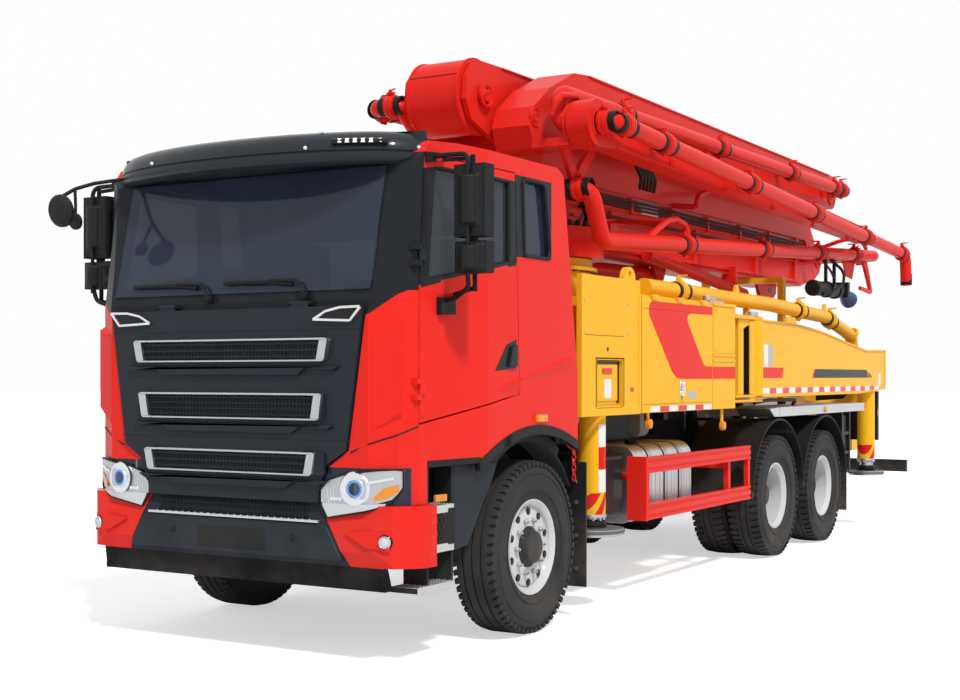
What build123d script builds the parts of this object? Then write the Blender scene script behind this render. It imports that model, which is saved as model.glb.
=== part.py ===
from build123d import *
import math
import os

# Concrete pump truck: a 6x4 cab-over chassis with a five-arm folded boom.
# Millimetres. +X is forward, +Y the truck's left, +Z up, z = 0 the ground.
# Every x below is measured from the front axle; AXLE_X puts that axle in the part's frame.

os.makedirs("parts", exist_ok=True)

# ---- overall sizes ----
FRONT_REACH = 1800.0      # front axle to the tip of the forward mirror
REAR_REACH = 9675.9       # front axle to the rear end of the folded boom
AXLE_X = (REAR_REACH - FRONT_REACH) / 2
HALF_WIDTH = 1245.0
FIT = 0.5                 # running gap of a pin in its bore
GAP = 6.0                 # gap between pieces that move past each other
SEAT = 0.3                # gap where a moving piece rests on its seat

# ---- wheels ----
WHEEL_R = 542.5
TYRE_W = 295.0
RIM_R = 292.0
RIM_WALL = 14.0
FRONT_WHEEL_Y = 1078.0
REAR_OUTER_Y = 1088.0
TWIN_PITCH = 338.0
REAR_AXLE_1 = -4500.0
REAR_AXLE_2 = -5850.0
HUB_R = 105.0
KINGPIN_Y = 850.0
KINGPIN_R = 25.0

# ---- chassis ----
RAIL_Y = 395.0
RAIL_W = 80.0
RAIL_Z0 = 780.0
RAIL_Z1 = 1050.0
RAIL_FRONT = 950.0
RAIL_REAR = -8300.0
AXLE_TUBE_R = 90.0
SUBFRAME_TOP = 1110.0

# ---- cab ----
CAB_FRONT = 1400.0
CAB_REAR = -530.0
CAB_WALL = 60.0
CAB_LOW = 1115.0
CAB_FLOOR = 1450.0
CAB_ROOF = 2940.0
CAB_HINGE_X = 1250.0
CAB_HINGE_Z = 700.0
CAB_HINGE_R = 30.0
DOOR_FRONT = 1255.0
TAPER_X = 620.0           # the cab's sides draw in ahead of here
DOOR_EDGE_Y = 1172.0      # half width at the door's front edge
DOOR_REAR = 300.0
DOOR_GAP = 7.0
DOOR_PIN_X = DOOR_FRONT - 4
DOOR_PIN_Y = DOOR_EDGE_Y + 11
DOOR_PIN_R = 5.0
DOOR_HINGES = (1480.0, 2220.0)
DOOR_TOP = 1206.0         # x of the door's front edge at its top
GLASS_Y = 960.0           # half width of the windscreen
LID_HINGE_Z = 2024.0
LID_HINGE_Y = 500.0
LID_PIN_X = 1446.0
LID_PIN_R = 6.0
LAMP_X0 = 1300.0
LAMP_Y0 = 655.0
LAMP_Z1 = 1105.0

# ---- boom ----
TURRET_X = -2150.0
FLANGE_R = 580.0
FLANGE_Z0 = 2530.0
FLANGE_Z1 = 2760.0
BOOM_Y = -200.0           # centre plane of the inner arms
ARM_1_HALF = 300.0
ARM_2_HALF = 250.0
ARM_3_HALF = 220.0
ARM_4_Y0 = 120.0
ARM_4_Y1 = 440.0
ARM_5_Y0 = 740.0
ARM_5_Y1 = 920.0
EAR_W = 40.0
REST_X = -6900.0
LUFF_EAR_R = 170.0
ARM_1_Z0 = 2660.0
ARM_1_Z1 = 3080.0
LUFF_X = -1600.0          # arm 1 on the turret
LUFF_Z = 3000.0
REAR_PIN_X = -9150.0      # arm 2 on arm 1
REAR_PIN_Z = 3030.0
NOSE_PIN_X = -1280.0      # arm 3 on arm 2
NOSE_PIN_Z = 3690.0
TAIL_PIN_X = -8600.0      # arm 4 on arm 3
TAIL_PIN_Z = 3750.0
SIDE_PIN_X = -1500.0      # arm 5 on arm 4
SIDE_PIN_Z = 3450.0
HOLLOW_R = 115.0          # hollow hinge pin that the delivery line passes through
HOLLOW_BORE = 85.0
PIN_R = 60.0
PIPE_R = 66.5
CLAMP_R = 84.0
CLAMP_W = 70.0
PIPE_BEND = 105.0
LIFT_FOOT_X = -2830.0     # lift cylinder, on the turret
LIFT_FOOT_Z = 2560.0
LIFT_EYE_X = -4900.0      # lift cylinder, on arm 1
LIFT_EYE_Z = 2590.0
BARREL_R = 66.0
ROD_R = 45.0
LINE_1_Y = 800.0
LINE_2_Y = -660.0
LINE_3_Y = -920.0
LINE_4_Y = 600.0
LINE_5_Y = 1050.0

# ---- outriggers ----
FRONT_BEAM_X0 = -1220.0
FRONT_BEAM_X1 = -820.0
FRONT_BEAM_H = 300.0
LEFT_BEAM_Z = 1415.0
RIGHT_BEAM_Z = 1745.0
JACK_X = -1020.0
JACK_Y = HALF_WIDTH - 145
JACK_TUBE_R = 100.0
JACK_BORE = 72.0
JACK_ROD_R = JACK_BORE - FIT
JACK_LOW = 640.0
PAD_R = 225.0
PAD_Z0 = 520.0
PAD_Z1 = 565.0
SWING_X = -4050.0
SWING_Y = HALF_WIDTH - 100
SWING_R = 98.0
SWING_PIN_R = 35.0
REAR_BEAM_END = -7950.0
REAR_JACK_X = -7560.0
REAR_JACK_LOW = 700.0
REAR_PAD_R = 185.0
REAR_PAD_Z0 = 545.0
REAR_PAD_Z1 = 590.0

# ---- body ----
CABINET_FRONT = -1545.0
CABINET_REAR = -3390.0
CABINET_IN = 650.0
CABINET_Z0 = 1345.0
CABINET_Z1 = 2200.0
SHEET = 20.0
CABINET_HINGES = (-1750, -2220, -2690)
CABINET_HINGE_Z = CABINET_Z1 - 6
LID_KNUCKLE_R = 9.0
HOPPER_FRONT = -8350.0
HOPPER_REAR = -9200.0
HOPPER_Y = 760.0
HOPPER_TOP = 1620.0
HOPPER_WALL = 20.0
GRATE_PIN_X = HOPPER_FRONT + 17
GRATE_PIN_Z = HOPPER_TOP + 26
GRATE_HINGES = (-500, 500)

SIDES = [("left", 1), ("right", -1)]


# ---- building helpers: each adds to the part that is being built ----
def block(x0, x1, y0, y1, z0, z1, mode=Mode.ADD):
    with Locations((AXLE_X + (x0 + x1) / 2, (y0 + y1) / 2, (z0 + z1) / 2)):
        Box(abs(x1 - x0), abs(y1 - y0), abs(z1 - z0), mode=mode)


def side_plane(y):
    return Plane(origin=(AXLE_X, y, 0), x_dir=(1, 0, 0), z_dir=(0, -1, 0))


def slab(points, y0, y1, mode=Mode.ADD):
    """A plate with the outline (x, z) between two values of y."""
    with BuildSketch(side_plane(max(y0, y1))) as outline:
        with BuildLine():
            Polyline(points, close=True)
        make_face()
    extrude(outline.sketch, amount=abs(y1 - y0), mode=mode)


def front_slab(points, x0, x1, mode=Mode.ADD):
    """A plate with the outline (y, z) between two values of x."""
    plane = Plane(origin=(AXLE_X + min(x0, x1), 0, 0), x_dir=(0, 1, 0), z_dir=(1, 0, 0))
    with BuildSketch(plane) as outline:
        with BuildLine():
            Polyline(points, close=True)
        make_face()
    extrude(outline.sketch, amount=abs(x1 - x0), mode=mode)


def plan_slab(points, z0, z1, mode=Mode.ADD):
    """A plate with the outline (x, y) between two heights."""
    with BuildSketch(Plane.XY.offset(z0)) as outline:
        with BuildLine():
            Polyline([(AXLE_X + x, y) for x, y in points], close=True)
        make_face()
    extrude(outline.sketch, amount=z1 - z0, mode=mode)


def disc_y(x, z, radius, y0, y1, mode=Mode.ADD):
    with BuildSketch(side_plane(max(y0, y1))) as face:
        with Locations((x, z)):
            Circle(radius)
    extrude(face.sketch, amount=abs(y1 - y0), mode=mode)


def disc_z(x, y, radius, z0, z1, mode=Mode.ADD):
    with BuildSketch(Plane.XY.offset(min(z0, z1))) as face:
        with Locations((AXLE_X + x, y)):
            Circle(radius)
    extrude(face.sketch, amount=abs(z1 - z0), mode=mode)


def disc_x(y, z, radius, x0, x1, mode=Mode.ADD):
    start = Plane(origin=(AXLE_X + min(x0, x1), y, z), z_dir=(1, 0, 0))
    with BuildSketch(start) as face:
        Circle(radius)
    extrude(face.sketch, amount=abs(x1 - x0), mode=mode)


def rod(start, end, radius, mode=Mode.ADD):
    """A round bar between two points (x, y, z)."""
    a = Vector(AXLE_X + start[0], start[1], start[2])
    b = Vector(AXLE_X + end[0], end[1], end[2])
    with BuildSketch(Plane(origin=a, z_dir=b - a)) as face:
        Circle(radius)
    extrude(face.sketch, amount=(b - a).length, mode=mode)


def pipe(points, radius=PIPE_R, bend=PIPE_BEND):
    """A bent pipe along straight runs joined by arcs."""
    route = [(AXLE_X + x, y, z) for x, y, z in points]
    with BuildLine() as path:
        FilletPolyline(*route, radius=bend)
    start = Plane(origin=path.line @ 0, z_dir=path.line % 0)
    with BuildSketch(start) as face:
        Circle(radius)
    sweep(face.sketch, path=path.line)


def save(part, name):
    part.part.label = name
    export_step(part.part, f"parts/{name}.step")


# ---- chassis ----
with BuildPart() as chassis_frame:
    for side in (-1, 1):
        block(RAIL_REAR, RAIL_FRONT, side * (RAIL_Y - RAIL_W / 2), side * (RAIL_Y + RAIL_W / 2),
              RAIL_Z0, RAIL_Z1)
        slab([(RAIL_FRONT - 100, RAIL_Z0), (RAIL_FRONT - 100, RAIL_Z1 - 60), (RAIL_FRONT, RAIL_Z1 - 60),
              (CAB_HINGE_X + 45, CAB_HINGE_Z + 40), (CAB_HINGE_X + 45, CAB_HINGE_Z - 45),
              (CAB_HINGE_X - 60, CAB_HINGE_Z - 45)],
             side * (RAIL_Y - 20), side * (RAIL_Y + 20))
        disc_y(CAB_HINGE_X, CAB_HINGE_Z, CAB_HINGE_R, side * (RAIL_Y + 20), side * (RAIL_Y + 90))
    for x in (880, -1000, -2700, -3900, -5175, -6700, -8240):
        block(x - 60, x + 60, -RAIL_Y, RAIL_Y, 900, 1020)
save(chassis_frame, "chassis_frame")

ENGINE_REAR = -520.0
with BuildPart() as engine:
    block(ENGINE_REAR, 640, -330, 330, 640, 1330)
save(engine, "engine")

AXLE_SEAT = 545.0
with BuildPart() as front_axle:
    block(-65, 65, -KINGPIN_Y + 60, KINGPIN_Y - 60, 440, AXLE_SEAT)
    for side in (-1, 1):
        disc_z(0, side * KINGPIN_Y, 70, 470, 610)
        block(-60, 60, side * (KINGPIN_Y - 130), side * (KINGPIN_Y - 40), 440, 600)
        disc_z(0, side * KINGPIN_Y, KINGPIN_R + FIT, 400, 700, Mode.SUBTRACT)
        block(-80, 80, side * (KINGPIN_Y - 90), side * (KINGPIN_Y + 80), 430, 470, Mode.SUBTRACT)
        y0 = side * (RAIL_Y - 38)
        y1 = side * (RAIL_Y + 38)
        slab([(-800, 650), (-800, 668), (-150, 620), (150, 620), (800, 668), (800, 650),
              (160, AXLE_SEAT), (-160, AXLE_SEAT)], y0, y1)
        for x in (-770, 770):
            block(x - 25, x + 25, y0, y1, 645, RAIL_Z0)
save(front_axle, "front_axle")

SPRING_MID = (REAR_AXLE_1 + REAR_AXLE_2) / 2
HUB_DEPTH = 470.0
REAR_HUB_Y = REAR_OUTER_Y - HUB_DEPTH      # inner face of the twin wheel's hub
with BuildPart() as rear_axles:
    for x in (REAR_AXLE_1, REAR_AXLE_2):
        disc_y(x, WHEEL_R, AXLE_TUBE_R, -REAR_HUB_Y + FIT, REAR_HUB_Y - FIT)
        disc_y(x, WHEEL_R, 235, -110, 110)
        disc_x(0, WHEEL_R + 40, 110, x - 330, x + 330)
    for side in (-1, 1):
        y0 = side * (RAIL_Y - 45)
        y1 = side * (RAIL_Y + 45)
        seat = WHEEL_R + AXLE_TUBE_R
        slab([(REAR_AXLE_1 + 120, seat - 20), (REAR_AXLE_1 + 120, seat + 35), (SPRING_MID + 120, seat + 85),
              (SPRING_MID - 120, seat + 85), (REAR_AXLE_2 - 120, seat + 35), (REAR_AXLE_2 - 120, seat - 20),
              (SPRING_MID - 150, seat - 60), (SPRING_MID + 150, seat - 60)], y0, y1)
        block(SPRING_MID - 130, SPRING_MID + 130, y0, y1, seat + 60, RAIL_Z0)
    rod((ENGINE_REAR - 3, 0, 800), (REAR_AXLE_1 + 320, 0, 620), 50)
    rod((REAR_AXLE_1 - 320, 0, 585), (REAR_AXLE_2 + 320, 0, 585), 45)
save(rear_axles, "rear_axles")

def hung_box(x0, x1, y0, y1, z0, z1, corner):
    """A tank or box with rounded long edges, carried by two arms on the frame rail."""
    block(x0, x1, y0, y1, z0, z1)
    fillet(edges(Select.LAST).filter_by(Axis.X), corner)
    rail = math.copysign(RAIL_Y + RAIL_W / 2, y0)
    near = y0 if y0 > 0 else y1
    for x in (x0 + 100, x1 - 100):
        block(x - 35, x + 35, rail, near + math.copysign(20, y0), 820, 920)


with BuildPart() as fuel_tank:
    hung_box(-2880, -1805, 520, 1060, 520, 1090, 110)
save(fuel_tank, "fuel_tank")

# hung on the frame: x0, x1, y0, y1, z0, z1, corner radius (negative y is the right side)
HUNG_BOXES = [
    (-1690, -1360, 560, 1020, 570, 1050, 50),      # urea tank
    (-2500, -1800, -1040, -520, 600, 1020, 25),    # battery box
    (-3260, -2640, -1030, -520, 560, 1040, 60),    # silencer
]
with BuildPart() as side_equipment:
    for row in HUNG_BOXES:
        hung_box(*row)
    for x in (-1315, -1605):
        disc_y(x, 800, 135, -1020, -520)
        block(x - 30, x + 30, -540, -(RAIL_Y + RAIL_W / 2), 785, 860)
save(side_equipment, "side_equipment")

GUARD_FRONT = -1640.0
GUARD_REAR = -3790.0
GUARD_Y1 = HALF_WIDTH - 20
GUARD_Y0 = GUARD_Y1 - 35
with BuildPart() as side_guards:
    for side in (-1, 1):
        for z0, z1 in ((565, 680), (905, 1020)):
            block(GUARD_REAR, GUARD_FRONT, side * GUARD_Y0, side * GUARD_Y1, z0, z1)
        block(GUARD_FRONT - 30, GUARD_FRONT, side * (GUARD_Y0 - 110), side * GUARD_Y1, 565, 1020)
        block(GUARD_REAR, GUARD_REAR + 50, side * GUARD_Y0, side * GUARD_Y1, 565, 1020)
        for x in (GUARD_FRONT - 130, -3400):
            block(x - 25, x + 25, side * (GUARD_Y0 - 40), side * GUARD_Y0, 600, 1000)
            block(x - 25, x + 25, side * (RAIL_Y + RAIL_W / 2), side * (GUARD_Y0 - 40), 845, 895)
save(side_guards, "side_guards")

GUARD_R = 672.0
with BuildPart() as mudguards:
    for side in (-1, 1):
        for x in (REAR_AXLE_1, REAR_AXLE_2):
            disc_y(x, WHEEL_R, GUARD_R + 12, side * 620, side * (HALF_WIDTH - 5))
        for x in (REAR_AXLE_1, REAR_AXLE_2):
            disc_y(x, WHEEL_R, GUARD_R, side * 600, side * (HALF_WIDTH + 15), Mode.SUBTRACT)
        block(REAR_AXLE_2 - 900, REAR_AXLE_1 + 900, side * 600, side * (HALF_WIDTH + 15), -200, 560,
              Mode.SUBTRACT)
        top = WHEEL_R + GUARD_R + 12
        for x in (REAR_AXLE_1, REAR_AXLE_2):
            block(x - 30, x + 30, side * (RAIL_Y + RAIL_W / 2), side * 650, top - 26, top)
            block(x - 30, x + 30, side * (RAIL_Y + RAIL_W / 2), side * (RAIL_Y + RAIL_W / 2 + 20),
                  960, top)
        flap = REAR_AXLE_2 - GUARD_R
        block(flap - 14, flap, side * 620, side * (HALF_WIDTH - 5), 250, 640)
        # flap behind the front wheel
        block(-672, -660, side * 880, side * (HALF_WIDTH - 5), 210, 1040)
        block(-700, -665, side * (RAIL_Y + RAIL_W / 2), side * 1200, 960, 1000)
save(mudguards, "mudguards")


# ---- wheels ----
def tyre_profile(centre_y):
    """Half section of a tyre as (y, radius), for a turn about the wheel's axis."""
    half = TYRE_W / 2
    return [(centre_y - half + 40, RIM_R), (centre_y - half + 6, RIM_R + 60),
            (centre_y - half, RIM_R + 120), (centre_y - half + 14, WHEEL_R - 38),
            (centre_y - half + 34, WHEEL_R - 6), (centre_y - 90, WHEEL_R), (centre_y + 90, WHEEL_R),
            (centre_y + half - 34, WHEEL_R - 6), (centre_y + half - 14, WHEEL_R - 38),
            (centre_y + half, RIM_R + 120), (centre_y + half - 6, RIM_R + 60),
            (centre_y + half - 40, RIM_R)]


def turned(points, x, z, side):
    """Turn an outline of (y, radius) about the axle at x, z."""
    section = Plane(origin=(AXLE_X + x, 0, z), x_dir=(0, side, 0), z_dir=(side, 0, 0))
    with BuildSketch(section) as outline:
        with BuildLine():
            Polyline(points, close=True)
        make_face()
    revolve(outline.sketch, axis=Axis((AXLE_X + x, 0, z), (0, 1, 0)))


FRONT_HUB_DEPTH = 60.0
# rim sections as (y from the rim's own centre, radius)
FRONT_RIM = [(-115, RIM_R - 30), (-115, RIM_R), (115, RIM_R), (115, RIM_R - RIM_WALL),
             (70, RIM_R - RIM_WALL - 30), (78, 200), (84, 150), (84, 90), (140, 85), (140, 0), (-FRONT_HUB_DEPTH, 0),
             (-FRONT_HUB_DEPTH, 170), (-20, 170), (-20, 95), (64, 95), (64, 190), (50, RIM_R - RIM_WALL - 40),
             (-90, RIM_R - RIM_WALL - 30)]
TWIN_RIM = [(-455, RIM_R - 30), (-455, RIM_R), (115, RIM_R), (115, RIM_R - RIM_WALL),
            (80, RIM_R - RIM_WALL - 30), (-140, RIM_R - RIM_WALL - 32), (-148, 150), (-148, 110),
            (20, 95), (20, 0), (-HUB_DEPTH, 0), (-HUB_DEPTH, 205), (-200, 205), (-190, 150), (-168, 150),
            (-168, RIM_R - RIM_WALL - 32), (-430, RIM_R - RIM_WALL - 30)]

for name, side in SIDES:
    with BuildPart() as front_tyre:
        turned(tyre_profile(FRONT_WHEEL_Y), 0, WHEEL_R, side)
    save(front_tyre, f"front_tyre_{name}")
    with BuildPart() as front_rim:
        turned([(FRONT_WHEEL_Y + y, r) for y, r in FRONT_RIM], 0, WHEEL_R, side)
    save(front_rim, f"front_rim_{name}")
    for number, x in ((1, REAR_AXLE_1), (2, REAR_AXLE_2)):
        with BuildPart() as twin_tyres:
            turned(tyre_profile(REAR_OUTER_Y), x, WHEEL_R, side)
            turned(tyre_profile(REAR_OUTER_Y - TWIN_PITCH), x, WHEEL_R, side)
        save(twin_tyres, f"rear_tyres_{number}_{name}")
        with BuildPart() as twin_rim:
            turned([(REAR_OUTER_Y + y, r) for y, r in TWIN_RIM], x, WHEEL_R, side)
        save(twin_rim, f"rear_rim_{number}_{name}")

STEER_ARM = 200.0
TIE_Y = 800.0
STEER_ARM_Z = 425.0
for name, side in SIDES:
    with BuildPart() as knuckle:
        disc_z(0, side * KINGPIN_Y, KINGPIN_R, 420, 655)
        block(-55, 55, side * (KINGPIN_Y - 50), side * (KINGPIN_Y + 90), 616, 650)
        block(-55, 55, side * (KINGPIN_Y - 50), side * (KINGPIN_Y + 90), 425, 464)
        block(-55, 55, side * (KINGPIN_Y + 78), side * (KINGPIN_Y + 110), 425, 650)
        disc_y(0, WHEEL_R, 80, side * (KINGPIN_Y + 100), side * (FRONT_WHEEL_Y - FRONT_HUB_DEPTH - FIT))
        block(-STEER_ARM - 30, -40, side * (TIE_Y - 30), side * (TIE_Y + 30),
              STEER_ARM_Z, STEER_ARM_Z + 13)
    save(knuckle, f"knuckle_{name}")

with BuildPart() as tie_rod:
    rod((-STEER_ARM, -TIE_Y + 20, 385), (-STEER_ARM, TIE_Y - 20, 385), 22)
    for side in (-1, 1):
        disc_z(-STEER_ARM, side * TIE_Y, 28, 363, STEER_ARM_Z - SEAT)
save(tie_rod, "tie_rod")

# ---- cab ----
CAB_SIDE = [(CAB_FRONT, 900), (CAB_FRONT + 20, 2040), (1250, 2800), (1150, 2925), (900, CAB_ROOF),
            (-250, CAB_ROOF), (-330, 2900), (CAB_REAR, 1620), (CAB_REAR, 1130), (-350, 1235),
            (0, 1270), (350, 1235), (660, CAB_LOW), (1180, CAB_LOW), (1180, 900)]
QUARTER_WINDOW = [(170, 2360), (200, 2810), (-60, 2810), (-130, 2360)]


def side_at(x):
    """Half width of the cab's tapered side at x."""
    return HALF_WIDTH + (x - TAPER_X) * (DOOR_EDGE_Y - HALF_WIDTH) / (DOOR_FRONT - TAPER_X)


def trim_side(side, inset=0.0):
    """Cut away what lies outside the cab's side, or a given distance within it."""
    y = side * (HALF_WIDTH - inset)
    plan_slab([(-800, y), (TAPER_X, y), (1700, side * (side_at(1700) - inset)), (1700, side * 1500),
               (-800, side * 1500)], 400, 3100, Mode.SUBTRACT)


def trim_corner(side, inset=0.0):
    """Round the cab's front corner: upright below the windscreen, leaning with it above."""
    out = side * 1500
    low = [(DOOR_FRONT, side * (DOOR_EDGE_Y - inset)), (1360 - inset, side * (1110 - inset)),
           (1440 - inset, side * (960 - inset)), (1700, side * (960 - inset)), (1700, out), (DOOR_FRONT, out)]
    top_edge = side_at(DOOR_TOP) - inset
    high = [(DOOR_TOP, side * top_edge), (1235 - inset, side * (1090 - inset)),
            (1262 - inset, side * (960 - inset)), (1700, side * (960 - inset)), (1700, out), (DOOR_TOP, out)]
    plan_slab(low, 400, 2040, Mode.SUBTRACT)
    ends = []
    for z, points in ((2040, low), (3000, high)):
        with BuildSketch(Plane.XY.offset(z)) as outline:
            with BuildLine():
                Polyline([(AXLE_X + x, y) for x, y in points], close=True)
            make_face()
        ends.append(outline.sketch.face())
    loft(ends, ruled=True, mode=Mode.SUBTRACT)


with BuildPart() as cab_room:
    slab([(CAB_FRONT - CAB_WALL, CAB_FLOOR), (CAB_FRONT - CAB_WALL + 15, 2040), (1180, 2790),
          (1100, CAB_ROOF - CAB_WALL), (-240, CAB_ROOF - CAB_WALL), (CAB_REAR + CAB_WALL, 1640),
          (CAB_REAR + CAB_WALL, CAB_FLOOR)], -HALF_WIDTH, HALF_WIDTH)
    # under the floor, over the wheels and the engine
    slab([(CAB_FRONT - CAB_WALL, 800), (CAB_FRONT - CAB_WALL, CAB_FLOOR - CAB_WALL),
          (CAB_REAR - 20, CAB_FLOOR - CAB_WALL), (CAB_REAR - 20, 800)], -HALF_WIDTH, HALF_WIDTH)
    for side in (-1, 1):
        trim_side(side, CAB_WALL)
        trim_corner(side, CAB_WALL)

with BuildPart() as doorways:
    for side in (-1, 1):
        slab([(DOOR_FRONT, 1340), (DOOR_FRONT, 2100), (DOOR_TOP, 2845), (DOOR_REAR, 2845),
              (DOOR_REAR - 60, 1500)], side * 1000, side * (HALF_WIDTH + 5))
        plan_slab([(-100, 0), (1700, 0), (1700, side * (side_at(1700) - CAB_WALL - 5)),
                   (TAPER_X, side * (HALF_WIDTH - CAB_WALL - 5)),
                   (-100, side * (HALF_WIDTH - CAB_WALL - 5))], 1000, 3000, Mode.SUBTRACT)

with BuildPart() as cab_shell:
    slab(CAB_SIDE, -HALF_WIDTH, HALF_WIDTH)
    fillet(cab_shell.edges().filter_by(Axis.Y).group_by(Axis.Z)[-1], 60)
    for side in (-1, 1):
        # corner panel beside the lid
        front_slab([(side * 960, 2000), (side * 840, 1200), (side * 700, LAMP_Z1),
                    (side * (HALF_WIDTH - 60), LAMP_Z1), (side * (HALF_WIDTH - 60), 2000)],
                   CAB_FRONT - 10, CAB_FRONT + 50)
        trim_side(side)
        trim_corner(side)
    add(cab_room.part, mode=Mode.SUBTRACT)
    add(doorways.part, mode=Mode.SUBTRACT)
    # windscreen, back window
    block(1150, 1600, -GLASS_Y, GLASS_Y, 2090, 2790, Mode.SUBTRACT)
    block(CAB_REAR - 50, -300, -800, 800, 2150, 2700, Mode.SUBTRACT)
    inner = HALF_WIDTH - CAB_WALL
    for side in (-1, 1):
        # quarter window, headlamp's seat
        slab(QUARTER_WINDOW, side * (inner - 5), side * (HALF_WIDTH + 5), Mode.SUBTRACT)
        block(LAMP_X0, 1600, side * LAMP_Y0, side * (HALF_WIDTH + 5), 890, LAMP_Z1, Mode.SUBTRACT)
        # eye of the tilt hinge
        block(CAB_HINGE_X - 50, CAB_HINGE_X + 50, side * (RAIL_Y + 30), side * (RAIL_Y + 80),
              CAB_HINGE_Z - 50, CAB_FLOOR - CAB_WALL + 10)
        disc_y(CAB_HINGE_X, CAB_HINGE_Z, CAB_HINGE_R + FIT, side * RAIL_Y, side * (RAIL_Y + 100),
               Mode.SUBTRACT)
        # two lugs and a pin for each door hinge
        for z in DOOR_HINGES:
            for z0, z1 in ((z, z + 30), (z + 90, z + 120)):
                block(DOOR_PIN_X, DOOR_PIN_X + 45, side * (DOOR_PIN_Y - 45), side * (DOOR_PIN_Y + 9), z0, z1)
                disc_z(DOOR_PIN_X, side * DOOR_PIN_Y, 9, z0, z1)
            disc_z(DOOR_PIN_X, side * DOOR_PIN_Y, DOOR_PIN_R, z, z + 120)
        # lid hinge: two lugs and a pin
        for y in (side * LID_HINGE_Y - 78, side * LID_HINGE_Y + 62):
            block(CAB_FRONT, LID_PIN_X, y, y + 16, LID_HINGE_Z - 10, LID_HINGE_Z + 10)
            disc_y(LID_PIN_X, LID_HINGE_Z, 10, y, y + 16)
        disc_y(LID_PIN_X, LID_HINGE_Z, LID_PIN_R, side * LID_HINGE_Y - 70, side * LID_HINGE_Y + 70)
save(cab_shell, "cab_shell")

with BuildPart() as cab_glass:
    for side in (-1, 1):
        front_slab([(side * LAMP_Y0, 900), (side * LAMP_Y0, 960), (side * 700, LAMP_Z1),
                    (side * 1170, LAMP_Z1), (side * 1190, 900)], LAMP_X0, CAB_FRONT + 45)
        plan_slab([(1290, side * 1162), (1360, side * 1118), (1452, side * 950), (1700, side * 950),
                   (1700, side * 1400), (1290, side * 1400)], 800, 1200, Mode.SUBTRACT)
        slab(QUARTER_WINDOW, side * (HALF_WIDTH - 34), side * (HALF_WIDTH - 26))
    slab([(CAB_FRONT + 12, 2090), (CAB_FRONT + 20, 2095), (1262, 2790), (1252, 2790)], -GLASS_Y, GLASS_Y)
    slab([(-440, 2150), (-432, 2150), (-346, 2700), (-354, 2700)], -800, 800)
save(cab_glass, "cab_glass")

# plan of the visor's swept end, from the middle of the truck outwards
VISOR_END = [(1562, 100), (1535, 400), (1440, 800), (1330, 1000), (1190, 1130), (1140, 1165)]
with BuildPart() as roof_visor:
    slab([(1250.3, 2800.2), (1480, 2800), (1560, 2850), (1540, 2930), (1430, 2990), (1150.3, 2990),
          (1150.3, 2925.3)], -1180, 1180)
    for side in (-1, 1):
        plan_slab([(x, side * y) for x, y in VISOR_END] + [(1140, side * 1400), (1700, side * 1400),
                  (1700, side * 100)], 2700, 3100, Mode.SUBTRACT)
    # arm and head of the forward mirror
    rod((1290, -960, 2850), (1600, -1095, 2760), 11)
    rod((1597, -1096, 2764), (1760, -1070, 2680), 11)
    with Locations(Location((AXLE_X + FRONT_REACH - 36.66, -1075, 2620), (0, 10, 0))):
        Box(48, 190, 150)
save(roof_visor, "roof_visor")

with BuildPart() as front_bumper:
    slab([(1180, 560), (1420, 560), (1450, 640), (1450, 800), (1430, 900), (1180, 900)],
         -HALF_WIDTH, HALF_WIDTH)
    for side in (-1, 1):
        plan_slab([(1240, side * HALF_WIDTH), (1310, side * 1232), (1425, side * 1112), (1452, side * 1000),
                   (1700, side * 1000), (1700, side * 1400), (1240, side * 1400)], 400, 950, Mode.SUBTRACT)
    block(1100, 1290, -1190, 1190, 500, 950, Mode.SUBTRACT)
    block(1100, 1375, -1060, 1060, 500, 950, Mode.SUBTRACT)
    slab([(1330, 425), (1400, 425), (1420, 570), (1380, 570)], -1050, 1050)
save(front_bumper, "front_bumper")

STEP_Y = side_at(1150) - 4
with BuildPart() as cab_steps:
    for side in (-1, 1):
        # bracket under the floor's edge, then the risers and steps
        block(900, 1150, side * (HALF_WIDTH - 245), side * HALF_WIDTH, CAB_LOW + 40, CAB_LOW + 60)
        trim_side(side, CAB_WALL)
        for x in (900, 1120):
            block(x, x + 30, side * (HALF_WIDTH - 245), side * (HALF_WIDTH - 205), 410, CAB_LOW + 60)
        for z, x1 in ((410, 1280), (630, 1175), (850, 1175)):
            block(900, x1, side * (HALF_WIDTH - 245), side * STEP_Y, z, z + 30)
save(cab_steps, "cab_steps")

with BuildPart() as cab_interior:
    for y in (-620, 620):
        block(150, 650, y - 250, y + 250, CAB_FLOOR, 1900)
        block(20, 160, y - 250, y + 250, 1700, 2480)
    block(-400, -60, -1100, 1100, CAB_FLOOR, 1850)
    slab([(1330, CAB_FLOOR), (1330, 2040), (1200, 2080), (980, 2000), (940, 1800), (1100, CAB_FLOOR)],
         -960, 960)
    rod((960, 620, 1880), (830, 620, 2010), 25)
    rod((840, 620, 2000), (815, 620, 2025), 215)
save(cab_interior, "cab_interior")

LID_X = CAB_FRONT + 26
with BuildPart() as front_lid:
    front_slab([(-640, 905), (-640, 960), (-690, LAMP_Z1 + 8), (-830, 1200), (-945, 2000),
                (945, 2000), (830, 1200), (690, LAMP_Z1 + 8), (640, 960), (640, 905)],
               LID_X, LID_X + 40)
    for z0, z1 in ((1700, 1820), (1370, 1510), (1060, 1180)):
        block(LID_X + 40, LID_X + 56, -690, 690, z0, z1)
    for side in (-1, 1):
        y = side * LID_HINGE_Y
        disc_y(LID_PIN_X, LID_HINGE_Z, 13, y - 60, y + 60)
        block(LID_PIN_X - 10, LID_PIN_X + 10, y - 60, y + 60, 1990, LID_HINGE_Z)
        disc_y(LID_PIN_X, LID_HINGE_Z, LID_PIN_R + FIT, y - 65, y + 65, Mode.SUBTRACT)
save(front_lid, "front_lid")

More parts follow.
